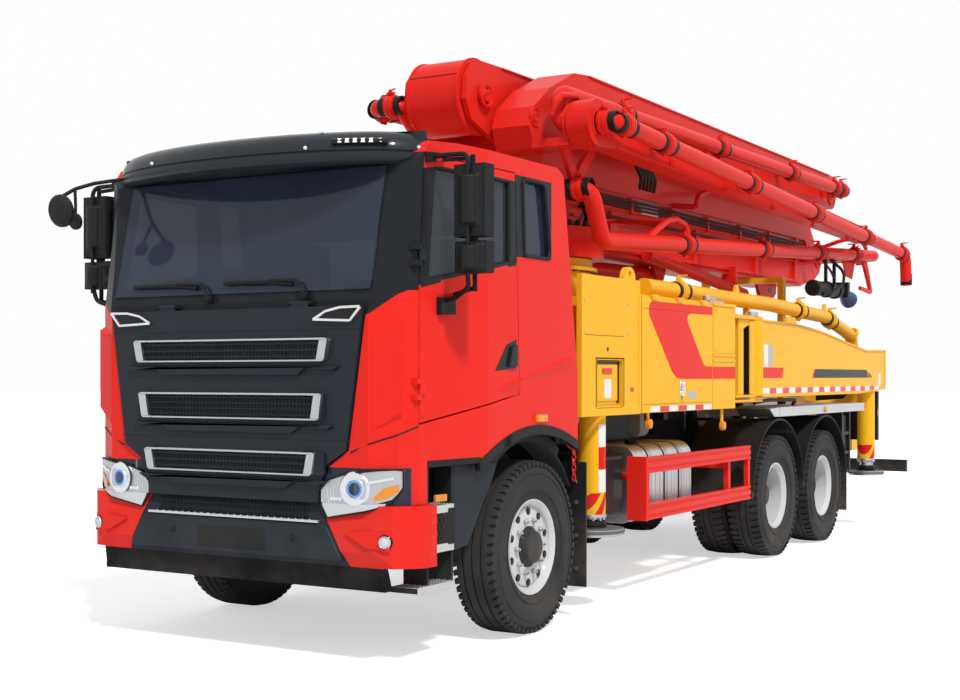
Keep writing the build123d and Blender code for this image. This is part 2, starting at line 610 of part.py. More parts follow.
DOOR_WINDOW = [(1165, 2150), (1110, 2780), (DOOR_REAR + 70, 2780), (DOOR_REAR + 70, 2300)]
for name, side in SIDES:
    with BuildPart() as door:
        g = DOOR_GAP
        slab([(DOOR_FRONT - g, 1340 + g + 6), (DOOR_FRONT - g, 2100), (DOOR_TOP - g, 2845 - g),
              (DOOR_REAR + g, 2845 - g), (DOOR_REAR - 60 + g, 1500 + g)],
             side * 1000, side * HALF_WIDTH)
        trim_side(side)
        plan_slab([(-100, 0), (1700, 0), (1700, side * (side_at(1700) - CAB_WALL)),
                   (TAPER_X, side * (HALF_WIDTH - CAB_WALL)), (-100, side * (HALF_WIDTH - CAB_WALL))],
                  1000, 3000, Mode.SUBTRACT)
        slab(DOOR_WINDOW, side * 1000, side * (HALF_WIDTH + 5), Mode.SUBTRACT)
        for z in DOOR_HINGES:
            block(DOOR_PIN_X - 40, DOOR_PIN_X, side * (DOOR_PIN_Y - 8), side * (DOOR_PIN_Y + 9),
                  z + 31, z + 89)
            block(DOOR_PIN_X - 40, DOOR_PIN_X - 18, side * (DOOR_PIN_Y - 20), side * DOOR_PIN_Y,
                  z + 31, z + 89)
            disc_z(DOOR_PIN_X, side * DOOR_PIN_Y, 9, z + 31, z + 89)
            disc_z(DOOR_PIN_X, side * DOOR_PIN_Y, DOOR_PIN_R + FIT, z + 31, z + 89, Mode.SUBTRACT)
        # mirrors on their tube arm
        block(1040, 1140, side * 1330, side * 1530, 2380, 2780)
        block(1040, 1130, side * 1330, side * 1530, 2180, 2355)
        block(1075, 1105, side * 1400, side * 1450, 2340, 2390)
        rod((1150, side * (side_at(1150) - 10), 2815), (1100, side * 1430, 2815), 12)
        rod((1100, side * 1430, 2834), (1100, side * 1430, 2760), 14)
        rod((1000, side * (side_at(1000) - 10), 2060), (1080, side * 1430, 2100), 12)
        rod((1080, side * 1430, 2080), (1080, side * 1430, 2200), 14)
    save(door, f"door_{name}")

# ---- turret and boom ----
def height(x, a, b):
    """z on the straight line through two points (x, z)."""
    return a[1] + (b[1] - a[1]) * (x - a[0]) / (b[0] - a[0])


def clamps(xs, y, a, b, seat_y):
    """Couplings on a straight pipe, each with a bracket to the arm's face at seat_y."""
    for x in xs:
        z = height(x, a, b)
        rod((x + CLAMP_W / 2, y, height(x + CLAMP_W / 2, a, b)),
            (x - CLAMP_W / 2, y, height(x - CLAMP_W / 2, a, b)), CLAMP_R)
        block(x - 25, x + 25, min(y, seat_y), max(y, seat_y), z - 25, z + 25)


ARM_5_END = -8600.0
LINE_5_END_X = 115.9 - REAR_REACH
LINE_5_END_Z = 3060.0
LINE_1 = [(-2960, 2690), (REAR_PIN_X, REAR_PIN_Z)]
LINE_5 = [(SIDE_PIN_X, SIDE_PIN_Z), (LINE_5_END_X, LINE_5_END_Z)]
with BuildPart() as pedestal:
    for side in (-1, 1):
        block(-8300, -650, side * (RAIL_Y - 35), side * (RAIL_Y + 35), RAIL_Z1, SUBFRAME_TOP)
    block(-2900, -1400, -620, 620, SUBFRAME_TOP, 1330)
    disc_z(TURRET_X, 0, 490, 1330, FLANGE_Z0 - GAP)
    disc_z(TURRET_X, 0, 300, 1400, FLANGE_Z0 - 0.3)
    # boom rest
    for y in (-430, 430):
        block(REST_X - 50, REST_X + 50, y - 30, y + 30, SUBFRAME_TOP - 10, 2600)
    block(REST_X - 50, REST_X + 50, -460, 460, 2600, ARM_1_Z0 - 0.3)
save(pedestal, "pedestal")

TOP_Y0 = BOOM_Y - ARM_1_HALF - 10
TOP_Y1 = BOOM_Y + ARM_1_HALF + 10
with BuildPart() as turret:
    disc_z(TURRET_X, 0, FLANGE_R, FLANGE_Z0, FLANGE_Z1)
    block(-2480, -1720, TOP_Y0 - EAR_W, TOP_Y1 + EAR_W, FLANGE_Z1, 2800)
    for y in (TOP_Y0 - EAR_W, TOP_Y1):
        disc_y(LUFF_X, LUFF_Z, LUFF_EAR_R, y, y + EAR_W)
        slab([(-2480, FLANGE_Z1), (-2480, 2830), (LUFF_X - 60, LUFF_Z + LUFF_EAR_R - 10),
              (LUFF_X + LUFF_EAR_R * 0.7, LUFF_Z - LUFF_EAR_R * 0.7), (-1690, FLANGE_Z1)], y, y + EAR_W)
    disc_y(LUFF_X, LUFF_Z, PIN_R + 20, TOP_Y0 - EAR_W - 10, TOP_Y1 + EAR_W + 10)
    for y in (BOOM_Y - 80 - 40, BOOM_Y + 80):
        slab([(-2500, 2535), (-2500, 2700), (-2840, 2640), (-2900, 2560), (-2840, 2490), (-2700, 2535)],
             y, y + 40)
    disc_y(LIFT_FOOT_X, LIFT_FOOT_Z, 40, BOOM_Y - 120, BOOM_Y + 120)
    pipe([(LUFF_X - 260, 330, FLANGE_Z1 - 5), (LUFF_X - 260, 330, LUFF_Z), (LUFF_X, 330, LUFF_Z),
          (LUFF_X, 636, LUFF_Z)])
save(turret, "turret")

with BuildPart() as arm_1:
    y0 = BOOM_Y - ARM_1_HALF
    y1 = BOOM_Y + ARM_1_HALF
    disc_y(LUFF_X, LUFF_Z, 160, y0, y1)
    slab([(LUFF_X, LUFF_Z - 160), (-2560, 2835), (-3000, ARM_1_Z0), (-8500, ARM_1_Z0),
          (-8930, ARM_1_Z0 + 100), (-8930, ARM_1_Z1), (-2300, ARM_1_Z1), (LUFF_X, LUFF_Z + 160)], y0, y1)
    for y in (y0, y1 - EAR_W):
        slab([(-8700, ARM_1_Z0 + 60), (-8700, ARM_1_Z1), (-9000, 3150), (-9150, 3180), (-9290, 3120),
              (-9320, 3000), (-9230, 2860), (-8930, ARM_1_Z0 + 60)], y, y + EAR_W)
    disc_y(LUFF_X, LUFF_Z, PIN_R + 20 + FIT, y0 - 5, y1 + 5, Mode.SUBTRACT)
    disc_y(REAR_PIN_X, REAR_PIN_Z, HOLLOW_R, y0 - 20, y1 + 20)
    disc_y(REAR_PIN_X, REAR_PIN_Z, HOLLOW_BORE, y0 - 25, y1 + 25, Mode.SUBTRACT)
    # plate under the rear end, and the lift cylinder's ears
    slab([(-7450, ARM_1_Z0 + 10), (-7550, 2500), (-7900, 2450), (-8080, 2560), (-8080, ARM_1_Z0 + 10)],
         BOOM_Y + 120, BOOM_Y + 160)
    for y in (BOOM_Y - 110, BOOM_Y + 70):
        slab([(LIFT_EYE_X + 160, ARM_1_Z0 + 20), (LIFT_EYE_X + 75, LIFT_EYE_Z - 55),
              (LIFT_EYE_X - 75, LIFT_EYE_Z - 55), (LIFT_EYE_X - 160, ARM_1_Z0 + 20)], y, y + 40)
    # delivery line 1, from the luffing axis to the hollow pin, and the pipe under the arm
    pipe([(LUFF_X, 640, LUFF_Z), (LUFF_X, LINE_1_Y, LUFF_Z), (-1800, LINE_1_Y, 2620),
          (-2960, LINE_1_Y, 2690), (REAR_PIN_X, LINE_1_Y, REAR_PIN_Z),
          (REAR_PIN_X, BOOM_Y - ARM_1_HALF - 25, REAR_PIN_Z)])
    clamps([-3400, -5300, -7000, -8300], LINE_1_Y, *LINE_1, y1 - 10)
    rod((-3960, 190, 2700), (-6410, 190, 2470), 55)
    for x, z in ((-4100, 2687), (-6200, 2490)):
        block(x - 25, x + 25, y1 - 60, 190, z - 20, ARM_1_Z0 + 80)
save(arm_1, "arm_1")

LIFT_LENGTH = math.hypot(LIFT_EYE_X - LIFT_FOOT_X, LIFT_EYE_Z - LIFT_FOOT_Z)


def on_lift(s):
    """Point on the lift cylinder's axis, s from its foot."""
    t = s / LIFT_LENGTH
    return (LIFT_FOOT_X + t * (LIFT_EYE_X - LIFT_FOOT_X), BOOM_Y,
            LIFT_FOOT_Z + t * (LIFT_EYE_Z - LIFT_FOOT_Z))


with BuildPart() as lift_barrel:
    disc_y(LIFT_FOOT_X, LIFT_FOOT_Z, 70, BOOM_Y - 74, BOOM_Y + 74)
    rod(on_lift(40), on_lift(LIFT_LENGTH - 110), BARREL_R)
    rod(on_lift(110), on_lift(LIFT_LENGTH - 109), ROD_R + FIT, Mode.SUBTRACT)
    disc_y(LIFT_FOOT_X, LIFT_FOOT_Z, 40 + FIT, BOOM_Y - 90, BOOM_Y + 90, Mode.SUBTRACT)
save(lift_barrel, "lift_barrel")

with BuildPart() as lift_rod:
    rod(on_lift(130), on_lift(LIFT_LENGTH), ROD_R)
    disc_y(LIFT_EYE_X, LIFT_EYE_Z, 60, BOOM_Y - 60, BOOM_Y + 60)
save(lift_rod, "lift_rod")

with BuildPart() as arm_2:
    y0 = BOOM_Y - ARM_2_HALF
    y1 = BOOM_Y + ARM_2_HALF
    disc_y(REAR_PIN_X, REAR_PIN_Z, 185, y0, y1)
    slab([(-9335, 3030), (-9320, 3120), (-8900, 3540), (-1750, 3540), (-1750, 3225), (-8850, 3225),
          (-8985, 3115), (REAR_PIN_X, 3030)], y0, y1)
    for y in (BOOM_Y - ARM_3_HALF - 10 - EAR_W, BOOM_Y + ARM_3_HALF + 10):
        slab([(-1040, 3640), (-1060, 3800), (-1160, 3920), (-1300, 3950), (-1440, 3920), (-2150, 3530),
              (-2700, 3530), (-2700, 3230), (-1900, 3230), (-1120, 3500)], y, y + EAR_W)
    disc_y(NOSE_PIN_X, NOSE_PIN_Z, PIN_R, BOOM_Y - ARM_3_HALF - 80, BOOM_Y + ARM_3_HALF + 80)
    disc_y(REAR_PIN_X, REAR_PIN_Z, HOLLOW_R + FIT, y0 - 5, y1 + 5, Mode.SUBTRACT)
    pipe([(REAR_PIN_X, -530, REAR_PIN_Z), (REAR_PIN_X, LINE_2_Y, REAR_PIN_Z), (-8700, LINE_2_Y, 3380),
          (-1700, LINE_2_Y, 3380), (NOSE_PIN_X, LINE_2_Y, NOSE_PIN_Z), (NOSE_PIN_X, -790, NOSE_PIN_Z)],
         bend=100)
    clamps([-2600, -4500, -6400, -8200], LINE_2_Y, (0, 3380), (-1000, 3380), y0 + 10)
save(arm_2, "arm_2")

with BuildPart() as arm_3:
    y0 = BOOM_Y - ARM_3_HALF
    y1 = BOOM_Y + ARM_3_HALF
    disc_y(NOSE_PIN_X, NOSE_PIN_Z, 280, y0, y1)
    slab([(NOSE_PIN_X, 3970), (-1650, 3975), (-8450, 3975), (-8800, 3850), (-8800, 3600), (-1800, 3590),
          (NOSE_PIN_X - 100, 3430)], y0, y1)
    disc_y(TAIL_PIN_X, TAIL_PIN_Z, HOLLOW_R, y1 - 5, ARM_4_Y1 + 5)
    disc_y(NOSE_PIN_X, NOSE_PIN_Z, PIN_R + FIT, y0 - 5, y1 + 5, Mode.SUBTRACT)
    disc_y(TAIL_PIN_X, TAIL_PIN_Z, HOLLOW_BORE, y0 - 5, ARM_4_Y1 + 10, Mode.SUBTRACT)
    pipe([(NOSE_PIN_X, -794, NOSE_PIN_Z), (NOSE_PIN_X, LINE_3_Y, NOSE_PIN_Z),
          (TAIL_PIN_X, LINE_3_Y, TAIL_PIN_Z), (TAIL_PIN_X, ARM_4_Y1 + 10, TAIL_PIN_Z)])
    clamps([-2600, -4500, -6400, -8200], LINE_3_Y, (NOSE_PIN_X, NOSE_PIN_Z),
           (TAIL_PIN_X, TAIL_PIN_Z), y0 + 10)
save(arm_3, "arm_3")

with BuildPart() as arm_4:
    disc_y(TAIL_PIN_X, TAIL_PIN_Z, 195, ARM_4_Y0, ARM_4_Y1)
    slab([(TAIL_PIN_X, 3945), (-2300, 3985), (-2050, 3960), (-1650, 3780), (-1400, 3600),
          (-1330, 3450), (-1400, 3290), (-1560, 3270), (-2400, 3560), (TAIL_PIN_X, 3560)],
         ARM_4_Y0, ARM_4_Y1)
    disc_y(TAIL_PIN_X, TAIL_PIN_Z, HOLLOW_R + FIT, ARM_4_Y0 - 5, ARM_4_Y1 + 5, Mode.SUBTRACT)
    # carrier of arm 5's hollow pin
    block(-1640, -1380, ARM_4_Y1 - 10, 728, 3290, 3350)
    disc_y(SIDE_PIN_X, SIDE_PIN_Z, 160, 704, 730)
    disc_y(SIDE_PIN_X, SIDE_PIN_Z, HOLLOW_R, 725, ARM_5_Y1 + 5)
    disc_y(SIDE_PIN_X, SIDE_PIN_Z, HOLLOW_BORE, 700, ARM_5_Y1 + 10, Mode.SUBTRACT)
    pipe([(TAIL_PIN_X, ARM_4_Y1 + 14, TAIL_PIN_Z), (TAIL_PIN_X, LINE_4_Y, TAIL_PIN_Z),
          (SIDE_PIN_X, LINE_4_Y, 3700), (SIDE_PIN_X, LINE_4_Y, SIDE_PIN_Z),
          (SIDE_PIN_X, ARM_5_Y1, SIDE_PIN_Z)])
    clamps([-2600, -4700, -6700, -8200], LINE_4_Y, (TAIL_PIN_X, TAIL_PIN_Z), (SIDE_PIN_X, 3700),
           ARM_4_Y1 - 10)
save(arm_4, "arm_4")

with BuildPart() as arm_5:
    disc_y(SIDE_PIN_X, SIDE_PIN_Z, 172, ARM_5_Y0, ARM_5_Y1)
    slab([(SIDE_PIN_X, 3622), (-1800, 3560), (ARM_5_END, 3270), (ARM_5_END, 3135), (-1800, 3300),
          (SIDE_PIN_X, 3278)], ARM_5_Y0, ARM_5_Y1)
    disc_y(SIDE_PIN_X, SIDE_PIN_Z, HOLLOW_R + FIT, ARM_5_Y0 - 5, ARM_5_Y1 + 5, Mode.SUBTRACT)
    pipe([(SIDE_PIN_X, ARM_5_Y1 + 10, SIDE_PIN_Z), (SIDE_PIN_X, LINE_5_Y, SIDE_PIN_Z),
          (LINE_5_END_X, LINE_5_Y, LINE_5_END_Z), (LINE_5_END_X - 50, LINE_5_Y, 2700)])
    clamps([-2400, -4300, -6100, -7900], LINE_5_Y, *LINE_5, ARM_5_Y1 - 10)
save(arm_5, "arm_5")

# ---- front outriggers ----
with BuildPart() as outrigger_frames:
    x0 = FRONT_BEAM_X0 - 40
    x1 = FRONT_BEAM_X1 + 40
    slot_x0 = FRONT_BEAM_X0 - GAP
    slot_x1 = FRONT_BEAM_X1 + GAP
    side_in = HALF_WIDTH - 40
    block(x0, x1, -side_in, side_in, 1375, 2090)
    block(-1510, -590, side_in, HALF_WIDTH, 1340, 2290)
    block(-1510, -590, -HALF_WIDTH, -side_in, 1340, 2290)
    for side in (-1, 1):
        disc_y(-1340, 2290, 90, side * side_in, side * HALF_WIDTH)
        disc_y(-1340, 2330, 26, side * (side_in - 5), side * (HALF_WIDTH + 5), Mode.SUBTRACT)
    block(slot_x0, slot_x1, -970, 1300, LEFT_BEAM_Z - SEAT, LEFT_BEAM_Z + FRONT_BEAM_H + GAP,
          Mode.SUBTRACT)
    block(slot_x0, slot_x1, -1300, 970, RIGHT_BEAM_Z - SEAT, RIGHT_BEAM_Z + FRONT_BEAM_H + GAP,
          Mode.SUBTRACT)
    block(slot_x0, slot_x1, 970, 1300, 1300, LEFT_BEAM_Z, Mode.SUBTRACT)
    block(slot_x0, slot_x1, -1300, -970, 1300, RIGHT_BEAM_Z, Mode.SUBTRACT)
    block(x0, x1, -RAIL_Y - 35, RAIL_Y + 35, SUBFRAME_TOP, 1375)
    # carriers of the rear beams
    block(-4250, -3560, -RAIL_Y - 35, RAIL_Y + 35, SUBFRAME_TOP, 1432)
    for side in (-1, 1):
        block(-3900, -3560, side * 560, side * 1100, 1385, 2130)
        block(-4200, -3560, side * RAIL_Y, side * (SWING_Y + 45), 1385, 1432)
        block(-4200, -3560, side * 900, side * (SWING_Y + 45), 2098, 2130)
        disc_z(SWING_X, side * SWING_Y, SWING_PIN_R, 1390, 2125)
save(outrigger_frames, "outrigger_frames")

for name, side, beam_z in (("left", 1, LEFT_BEAM_Z), ("right", -1, RIGHT_BEAM_Z)):
    with BuildPart() as beam:
        block(FRONT_BEAM_X0, FRONT_BEAM_X1, side * -950, side * 1215, beam_z, beam_z + FRONT_BEAM_H)
        disc_z(JACK_X, side * JACK_Y, JACK_TUBE_R, JACK_LOW, beam_z + 5)
        disc_z(JACK_X, side * JACK_Y, JACK_BORE, JACK_LOW - 5, 1390, Mode.SUBTRACT)
    save(beam, f"front_beam_{name}")
    with BuildPart() as jack:
        disc_z(JACK_X, side * JACK_Y, JACK_ROD_R, PAD_Z1 - 5, 1380)
        disc_z(JACK_X, side * JACK_Y, PAD_R, PAD_Z0, PAD_Z1)
    save(jack, f"front_jack_{name}")

# ---- rear outriggers ----
for name, side in SIDES:
    with BuildPart() as beam:
        slab([(SWING_X, 1440), (SWING_X, 2090), (-5050, 2070), (-5700, 2030), (-7200, 1870),
              (REAR_BEAM_END, 1880), (REAR_BEAM_END, 1480), (-7000, 1440)],
             side * (SWING_Y - 92), side * (HALF_WIDTH - 4))
        disc_z(SWING_X, side * SWING_Y, SWING_R, 1440, 2090)
        disc_z(SWING_X, side * SWING_Y, SWING_PIN_R + FIT, 1430, 2100, Mode.SUBTRACT)
        disc_z(REAR_JACK_X, side * SWING_Y, 92, REAR_JACK_LOW, 1500)
        disc_z(REAR_JACK_X, side * SWING_Y, JACK_BORE, REAR_JACK_LOW - 5, 1480, Mode.SUBTRACT)
    save(beam, f"rear_beam_{name}")
    with BuildPart() as jack:
        disc_z(REAR_JACK_X, side * SWING_Y, JACK_ROD_R, REAR_PAD_Z1 - 5, 1470)
        disc_z(REAR_JACK_X, side * SWING_Y, REAR_PAD_R, REAR_PAD_Z0, REAR_PAD_Z1)
    save(jack, f"rear_jack_{name}")

# ---- body ----
with BuildPart() as cabinets:
    for side in (-1, 1):
        y0 = side * CABINET_IN
        y1 = side * (HALF_WIDTH - SHEET - 0.3)
        block(CABINET_REAR, CABINET_FRONT, y0, y1, CABINET_Z0, CABINET_Z1)
        block(-2870, CABINET_FRONT - SHEET, y0 + side * SHEET, side * 1300, CABINET_Z0 + SHEET,
              CABINET_Z1 - SHEET, Mode.SUBTRACT)
        block(CABINET_REAR, -2895, y1, side * HALF_WIDTH, CABINET_Z0, CABINET_Z1)
        block(-1840, -1760, side * 620, y0 + side * 100, 1250, CABINET_Z0)
        block(-3140, -3060, side * (RAIL_Y - 35), y0 + side * 100, 1250, CABINET_Z0)
        block(-3140, -3060, side * (RAIL_Y - 35), side * (RAIL_Y + 35), SUBFRAME_TOP, CABINET_Z0)
        # lugs and pins of the door's hinges
        hinge_y = side * (HALF_WIDTH + LID_KNUCKLE_R)
        for x in CABINET_HINGES:
            for x0 in (x - 60, x + 50):
                block(x0, x0 + 10, side * (HALF_WIDTH - 30), hinge_y, CABINET_Z1 - 10, CABINET_Z1)
                disc_x(hinge_y, CABINET_HINGE_Z, LID_KNUCKLE_R, x0, x0 + 10)
            disc_x(hinge_y, CABINET_HINGE_Z, DOOR_PIN_R, x - 60, x + 60)
        # water and oil tank behind, on two feet
        block(-5900, -4300, side * 260, side * 1000, 1440, 2080)
        for x in (-4500, -5700):
            block(x - 50, x + 50, side * (RAIL_Y - 35), side * (RAIL_Y + 35), SUBFRAME_TOP, 1440)
save(cabinets, "cabinets")

for name, side in SIDES:
    with BuildPart() as cabinet_door:
        block(-2885, CABINET_FRONT, side * (HALF_WIDTH - SHEET), side * HALF_WIDTH,
              CABINET_Z0, CABINET_Z1 - 12)
        hinge_y = side * (HALF_WIDTH + LID_KNUCKLE_R)
        for x in CABINET_HINGES:
            block(x - 48, x + 48, side * (HALF_WIDTH - 5), side * (HALF_WIDTH + 14), CABINET_Z1 - 30,
                  CABINET_Z1 - 12)
            disc_x(hinge_y, CABINET_HINGE_Z, LID_KNUCKLE_R, x - 48, x + 48)
            disc_x(hinge_y, CABINET_HINGE_Z, DOOR_PIN_R + FIT, x - 50, x + 50, Mode.SUBTRACT)
    save(cabinet_door, f"cabinet_door_{name}")

with BuildPart() as platforms:
    for side in (-1, 1):
        block(-7210, -4550, side * 700, side * (HALF_WIDTH - 20), 1245, 1325)
        for x in (-4800, -6100, -7050):
            block(x - 30, x + 30, side * (RAIL_Y + 35), side * 720, 1250, 1310)
            block(x - 30, x + 30, side * (RAIL_Y - 35), side * (RAIL_Y + 35), SUBFRAME_TOP, 1310)
save(platforms, "platforms")

with BuildPart() as pump_cylinders:
    for side in (-1, 1):
        disc_x(side * 150, 1250, 120, HOPPER_FRONT, -4400)
    block(-6500, -6000, -290, 290, SUBFRAME_TOP + 10, 1420)
    for x in (-4700, -7600):
        block(x - 40, x + 40, -RAIL_Y - 35, RAIL_Y + 35, SUBFRAME_TOP, 1160)
save(pump_cylinders, "pump_cylinders")

with BuildPart() as deck_line:
    pipe([(-2260, 930, 2300), (-5070, 930, 2285), (-6800, 930, 2225), (-7760, 930, 2050),
          (-7850, 930, 1300), (-7850, 300, 1250)], bend=150)
    for x, z in ((-3000, CABINET_Z1), (-4500, 2080)):
        block(x - 25, x + 25, 905, 955, z, 2260)
save(deck_line, "deck_line")

with BuildPart() as hopper:
    slab([(HOPPER_FRONT, 760), (HOPPER_FRONT, HOPPER_TOP), (HOPPER_REAR, HOPPER_TOP),
          (HOPPER_REAR, 1150), (-8950, 760)], -HOPPER_Y, HOPPER_Y)
    slab([(HOPPER_FRONT - HOPPER_WALL, 790), (HOPPER_FRONT - HOPPER_WALL, HOPPER_TOP + 10),
          (HOPPER_REAR + HOPPER_WALL, HOPPER_TOP + 10), (HOPPER_REAR + HOPPER_WALL, 1160), (-8935, 790)],
         -HOPPER_Y + HOPPER_WALL, HOPPER_Y - HOPPER_WALL, Mode.SUBTRACT)
    disc_y(-8700, 1120, 35 + FIT, -HOPPER_Y - 60, HOPPER_Y + 60, Mode.SUBTRACT)
    for y in GRATE_HINGES:
        for y0 in (y - 60, y + 44):
            block(HOPPER_FRONT, GRATE_PIN_X + 12, y0, y0 + 16, HOPPER_TOP - 60, GRATE_PIN_Z)
            disc_y(GRATE_PIN_X, GRATE_PIN_Z, 12, y0, y0 + 16)
        disc_y(GRATE_PIN_X, GRATE_PIN_Z, 8, y - 60, y + 60)
save(hopper, "hopper")

with BuildPart() as agitator:
    disc_y(-8700, 1120, 35, -HOPPER_Y - 40, HOPPER_Y + 40)
    for y, turn in ((-500, 0), (-200, 90), (200, 0), (500, 90)):
        with Locations(Location((AXLE_X - 8700, y, 1120), (0, turn, 0))):
            Box(500, 60, 30)
save(agitator, "agitator")

with BuildPart() as hopper_grate:
    frame_x0 = HOPPER_REAR
    frame_x1 = HOPPER_FRONT - 2
    block(frame_x0, frame_x1, -HOPPER_Y, HOPPER_Y, HOPPER_TOP + 0.3, HOPPER_TOP + 40)
    block(frame_x0 + 50, frame_x1 - 50, -HOPPER_Y + 50, HOPPER_Y - 50, HOPPER_TOP, HOPPER_TOP + 50,
          Mode.SUBTRACT)
    for i in range(1, 12):
        y = -HOPPER_Y + i * 2 * HOPPER_Y / 12
        block(frame_x0 + 40, frame_x1 - 40, y - 8, y + 8, HOPPER_TOP + 10, HOPPER_TOP + 34)
    for y in GRATE_HINGES:
        block(frame_x1 - 10, GRATE_PIN_X, y - 40, y + 40, GRATE_PIN_Z - 10, GRATE_PIN_Z + 10)
        disc_y(GRATE_PIN_X, GRATE_PIN_Z, 14, y - 40, y + 40)
        disc_y(GRATE_PIN_X, GRATE_PIN_Z, 8 + FIT, y - 42, y + 42, Mode.SUBTRACT)
save(hopper_grate, "hopper_grate")

with BuildPart() as tail_panel:
    for side in (-1, 1):
        block(-8050, -8000, side * 450, side * 1150, 900, 1440)
        block(-8050, -7950, side * (RAIL_Y + RAIL_W / 2), side * 500, 950, 1040)
    block(-9280, -9220, -1150, 1150, 480, 620)
    for side in (-1, 1):
        block(-9220, -8290, side * (RAIL_Y - 40), side * (RAIL_Y + 40), 500, 600)
        block(-8290, -8200, side * (RAIL_Y - 40), side * (RAIL_Y + 40), 500, RAIL_Z0)
save(tail_panel, "tail_panel")
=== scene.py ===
"""Looks of a truck-mounted concrete pump: paint, glass, wheels, cab trim, pipes and rigging."""

import math

import bmesh
import bpy
from bpy.props import FloatProperty, FloatVectorProperty, IntProperty
from mathutils import Matrix, Vector


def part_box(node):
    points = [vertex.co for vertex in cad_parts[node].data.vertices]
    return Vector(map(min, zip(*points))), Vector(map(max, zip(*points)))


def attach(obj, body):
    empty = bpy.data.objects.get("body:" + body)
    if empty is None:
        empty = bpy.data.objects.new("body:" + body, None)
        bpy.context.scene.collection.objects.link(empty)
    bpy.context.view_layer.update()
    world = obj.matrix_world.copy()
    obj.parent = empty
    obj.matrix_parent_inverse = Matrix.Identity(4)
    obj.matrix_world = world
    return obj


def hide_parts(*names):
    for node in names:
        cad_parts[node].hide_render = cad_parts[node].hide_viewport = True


bl_info = {
    "name": "Concrete Pump Truck Looks",
    "version": (1, 0, 0),
    "blender": (4, 5, 0),
    "location": "View3D > Sidebar > Pump Truck",
    "description": "Adds paint, trim, wheels and rigging around the packed truck",
    "category": "Object",
}

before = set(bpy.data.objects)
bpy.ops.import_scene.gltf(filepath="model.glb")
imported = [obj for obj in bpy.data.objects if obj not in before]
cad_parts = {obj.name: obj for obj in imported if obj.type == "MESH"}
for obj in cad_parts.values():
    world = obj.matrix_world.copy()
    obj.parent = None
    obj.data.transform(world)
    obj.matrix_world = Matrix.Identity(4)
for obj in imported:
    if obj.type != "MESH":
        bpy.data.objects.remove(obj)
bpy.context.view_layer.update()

RIM_LOW, RIM_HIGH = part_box("front_rim_left")
AXLE_X = (RIM_LOW.x + RIM_HIGH.x) / 2       # front axle; every x below is measured from it, forward is +
WHEEL_Z = (RIM_LOW.z + RIM_HIGH.z) / 2
HALF_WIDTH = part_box("cab_shell")[1].y
SIDES = (("left", 1), ("right", -1))
AHEAD, ACROSS, UP = (1, 0, 0), (0, 1, 0), (0, 0, 1)
REAR_AXLES = ((1, -4.5), (2, -5.85))        # number and place of each rear axle
FRONT_TYRE_Y = 1.078
REAR_TYRES_Y = (("outer", 1.088), ("inner", 0.750))
FRONT_DISC_Y = 1.162                        # outer face of the front wheel's disc
ARCH_Z = 0.5425                             # centre of the wheel arches
CABINET_Y = 1.245                           # outer face of the cabinets and their doors
BEAM_Y = 1.241                              # outer face of the rear outrigger beams
FRONT_LEG = (-1.02, 1.10)                   # x and y of the jacks' tubes
REAR_LEG = (-7.56, 1.145)


# ---------------------------------------------------------------- shader maths
class Value:
    """A socket that can be used in arithmetic."""

    def __init__(self, net, socket):
        self.net = net
        self.socket = socket

    def _math(self, operation, first, second=None):
        node = self.net.tree.nodes.new("ShaderNodeMath")
        node.operation = operation
        self.net.feed(node.inputs[0], first)
        if second is not None:
            self.net.feed(node.inputs[1], second)
        return Value(self.net, node.outputs[0])

    def __add__(self, other):
        return self._math("ADD", self, other)

    def __radd__(self, other):
        return self._math("ADD", other, self)

    def __sub__(self, other):
        return self._math("SUBTRACT", self, other)

    def __rsub__(self, other):
        return self._math("SUBTRACT", other, self)

    def __mul__(self, other):
        return self._math("MULTIPLY", self, other)

    def __rmul__(self, other):
        return self._math("MULTIPLY", other, self)

    def __truediv__(self, other):
        return self._math("DIVIDE", self, other)

    def __rtruediv__(self, other):
        return self._math("DIVIDE", other, self)

    def __gt__(self, other):
        return self._math("GREATER_THAN", self, other)

    def __lt__(self, other):
        return self._math("LESS_THAN", self, other)

    def floor(self):
        return self._math("FLOOR", self)

    def fract(self):
        return self._math("FRACT", self)

    def absolute(self):
        return self._math("ABSOLUTE", self)

    def at_least(self, other):
        return self._math("MAXIMUM", self, other)

    def at_most(self, other):
        return self._math("MINIMUM", self, other)


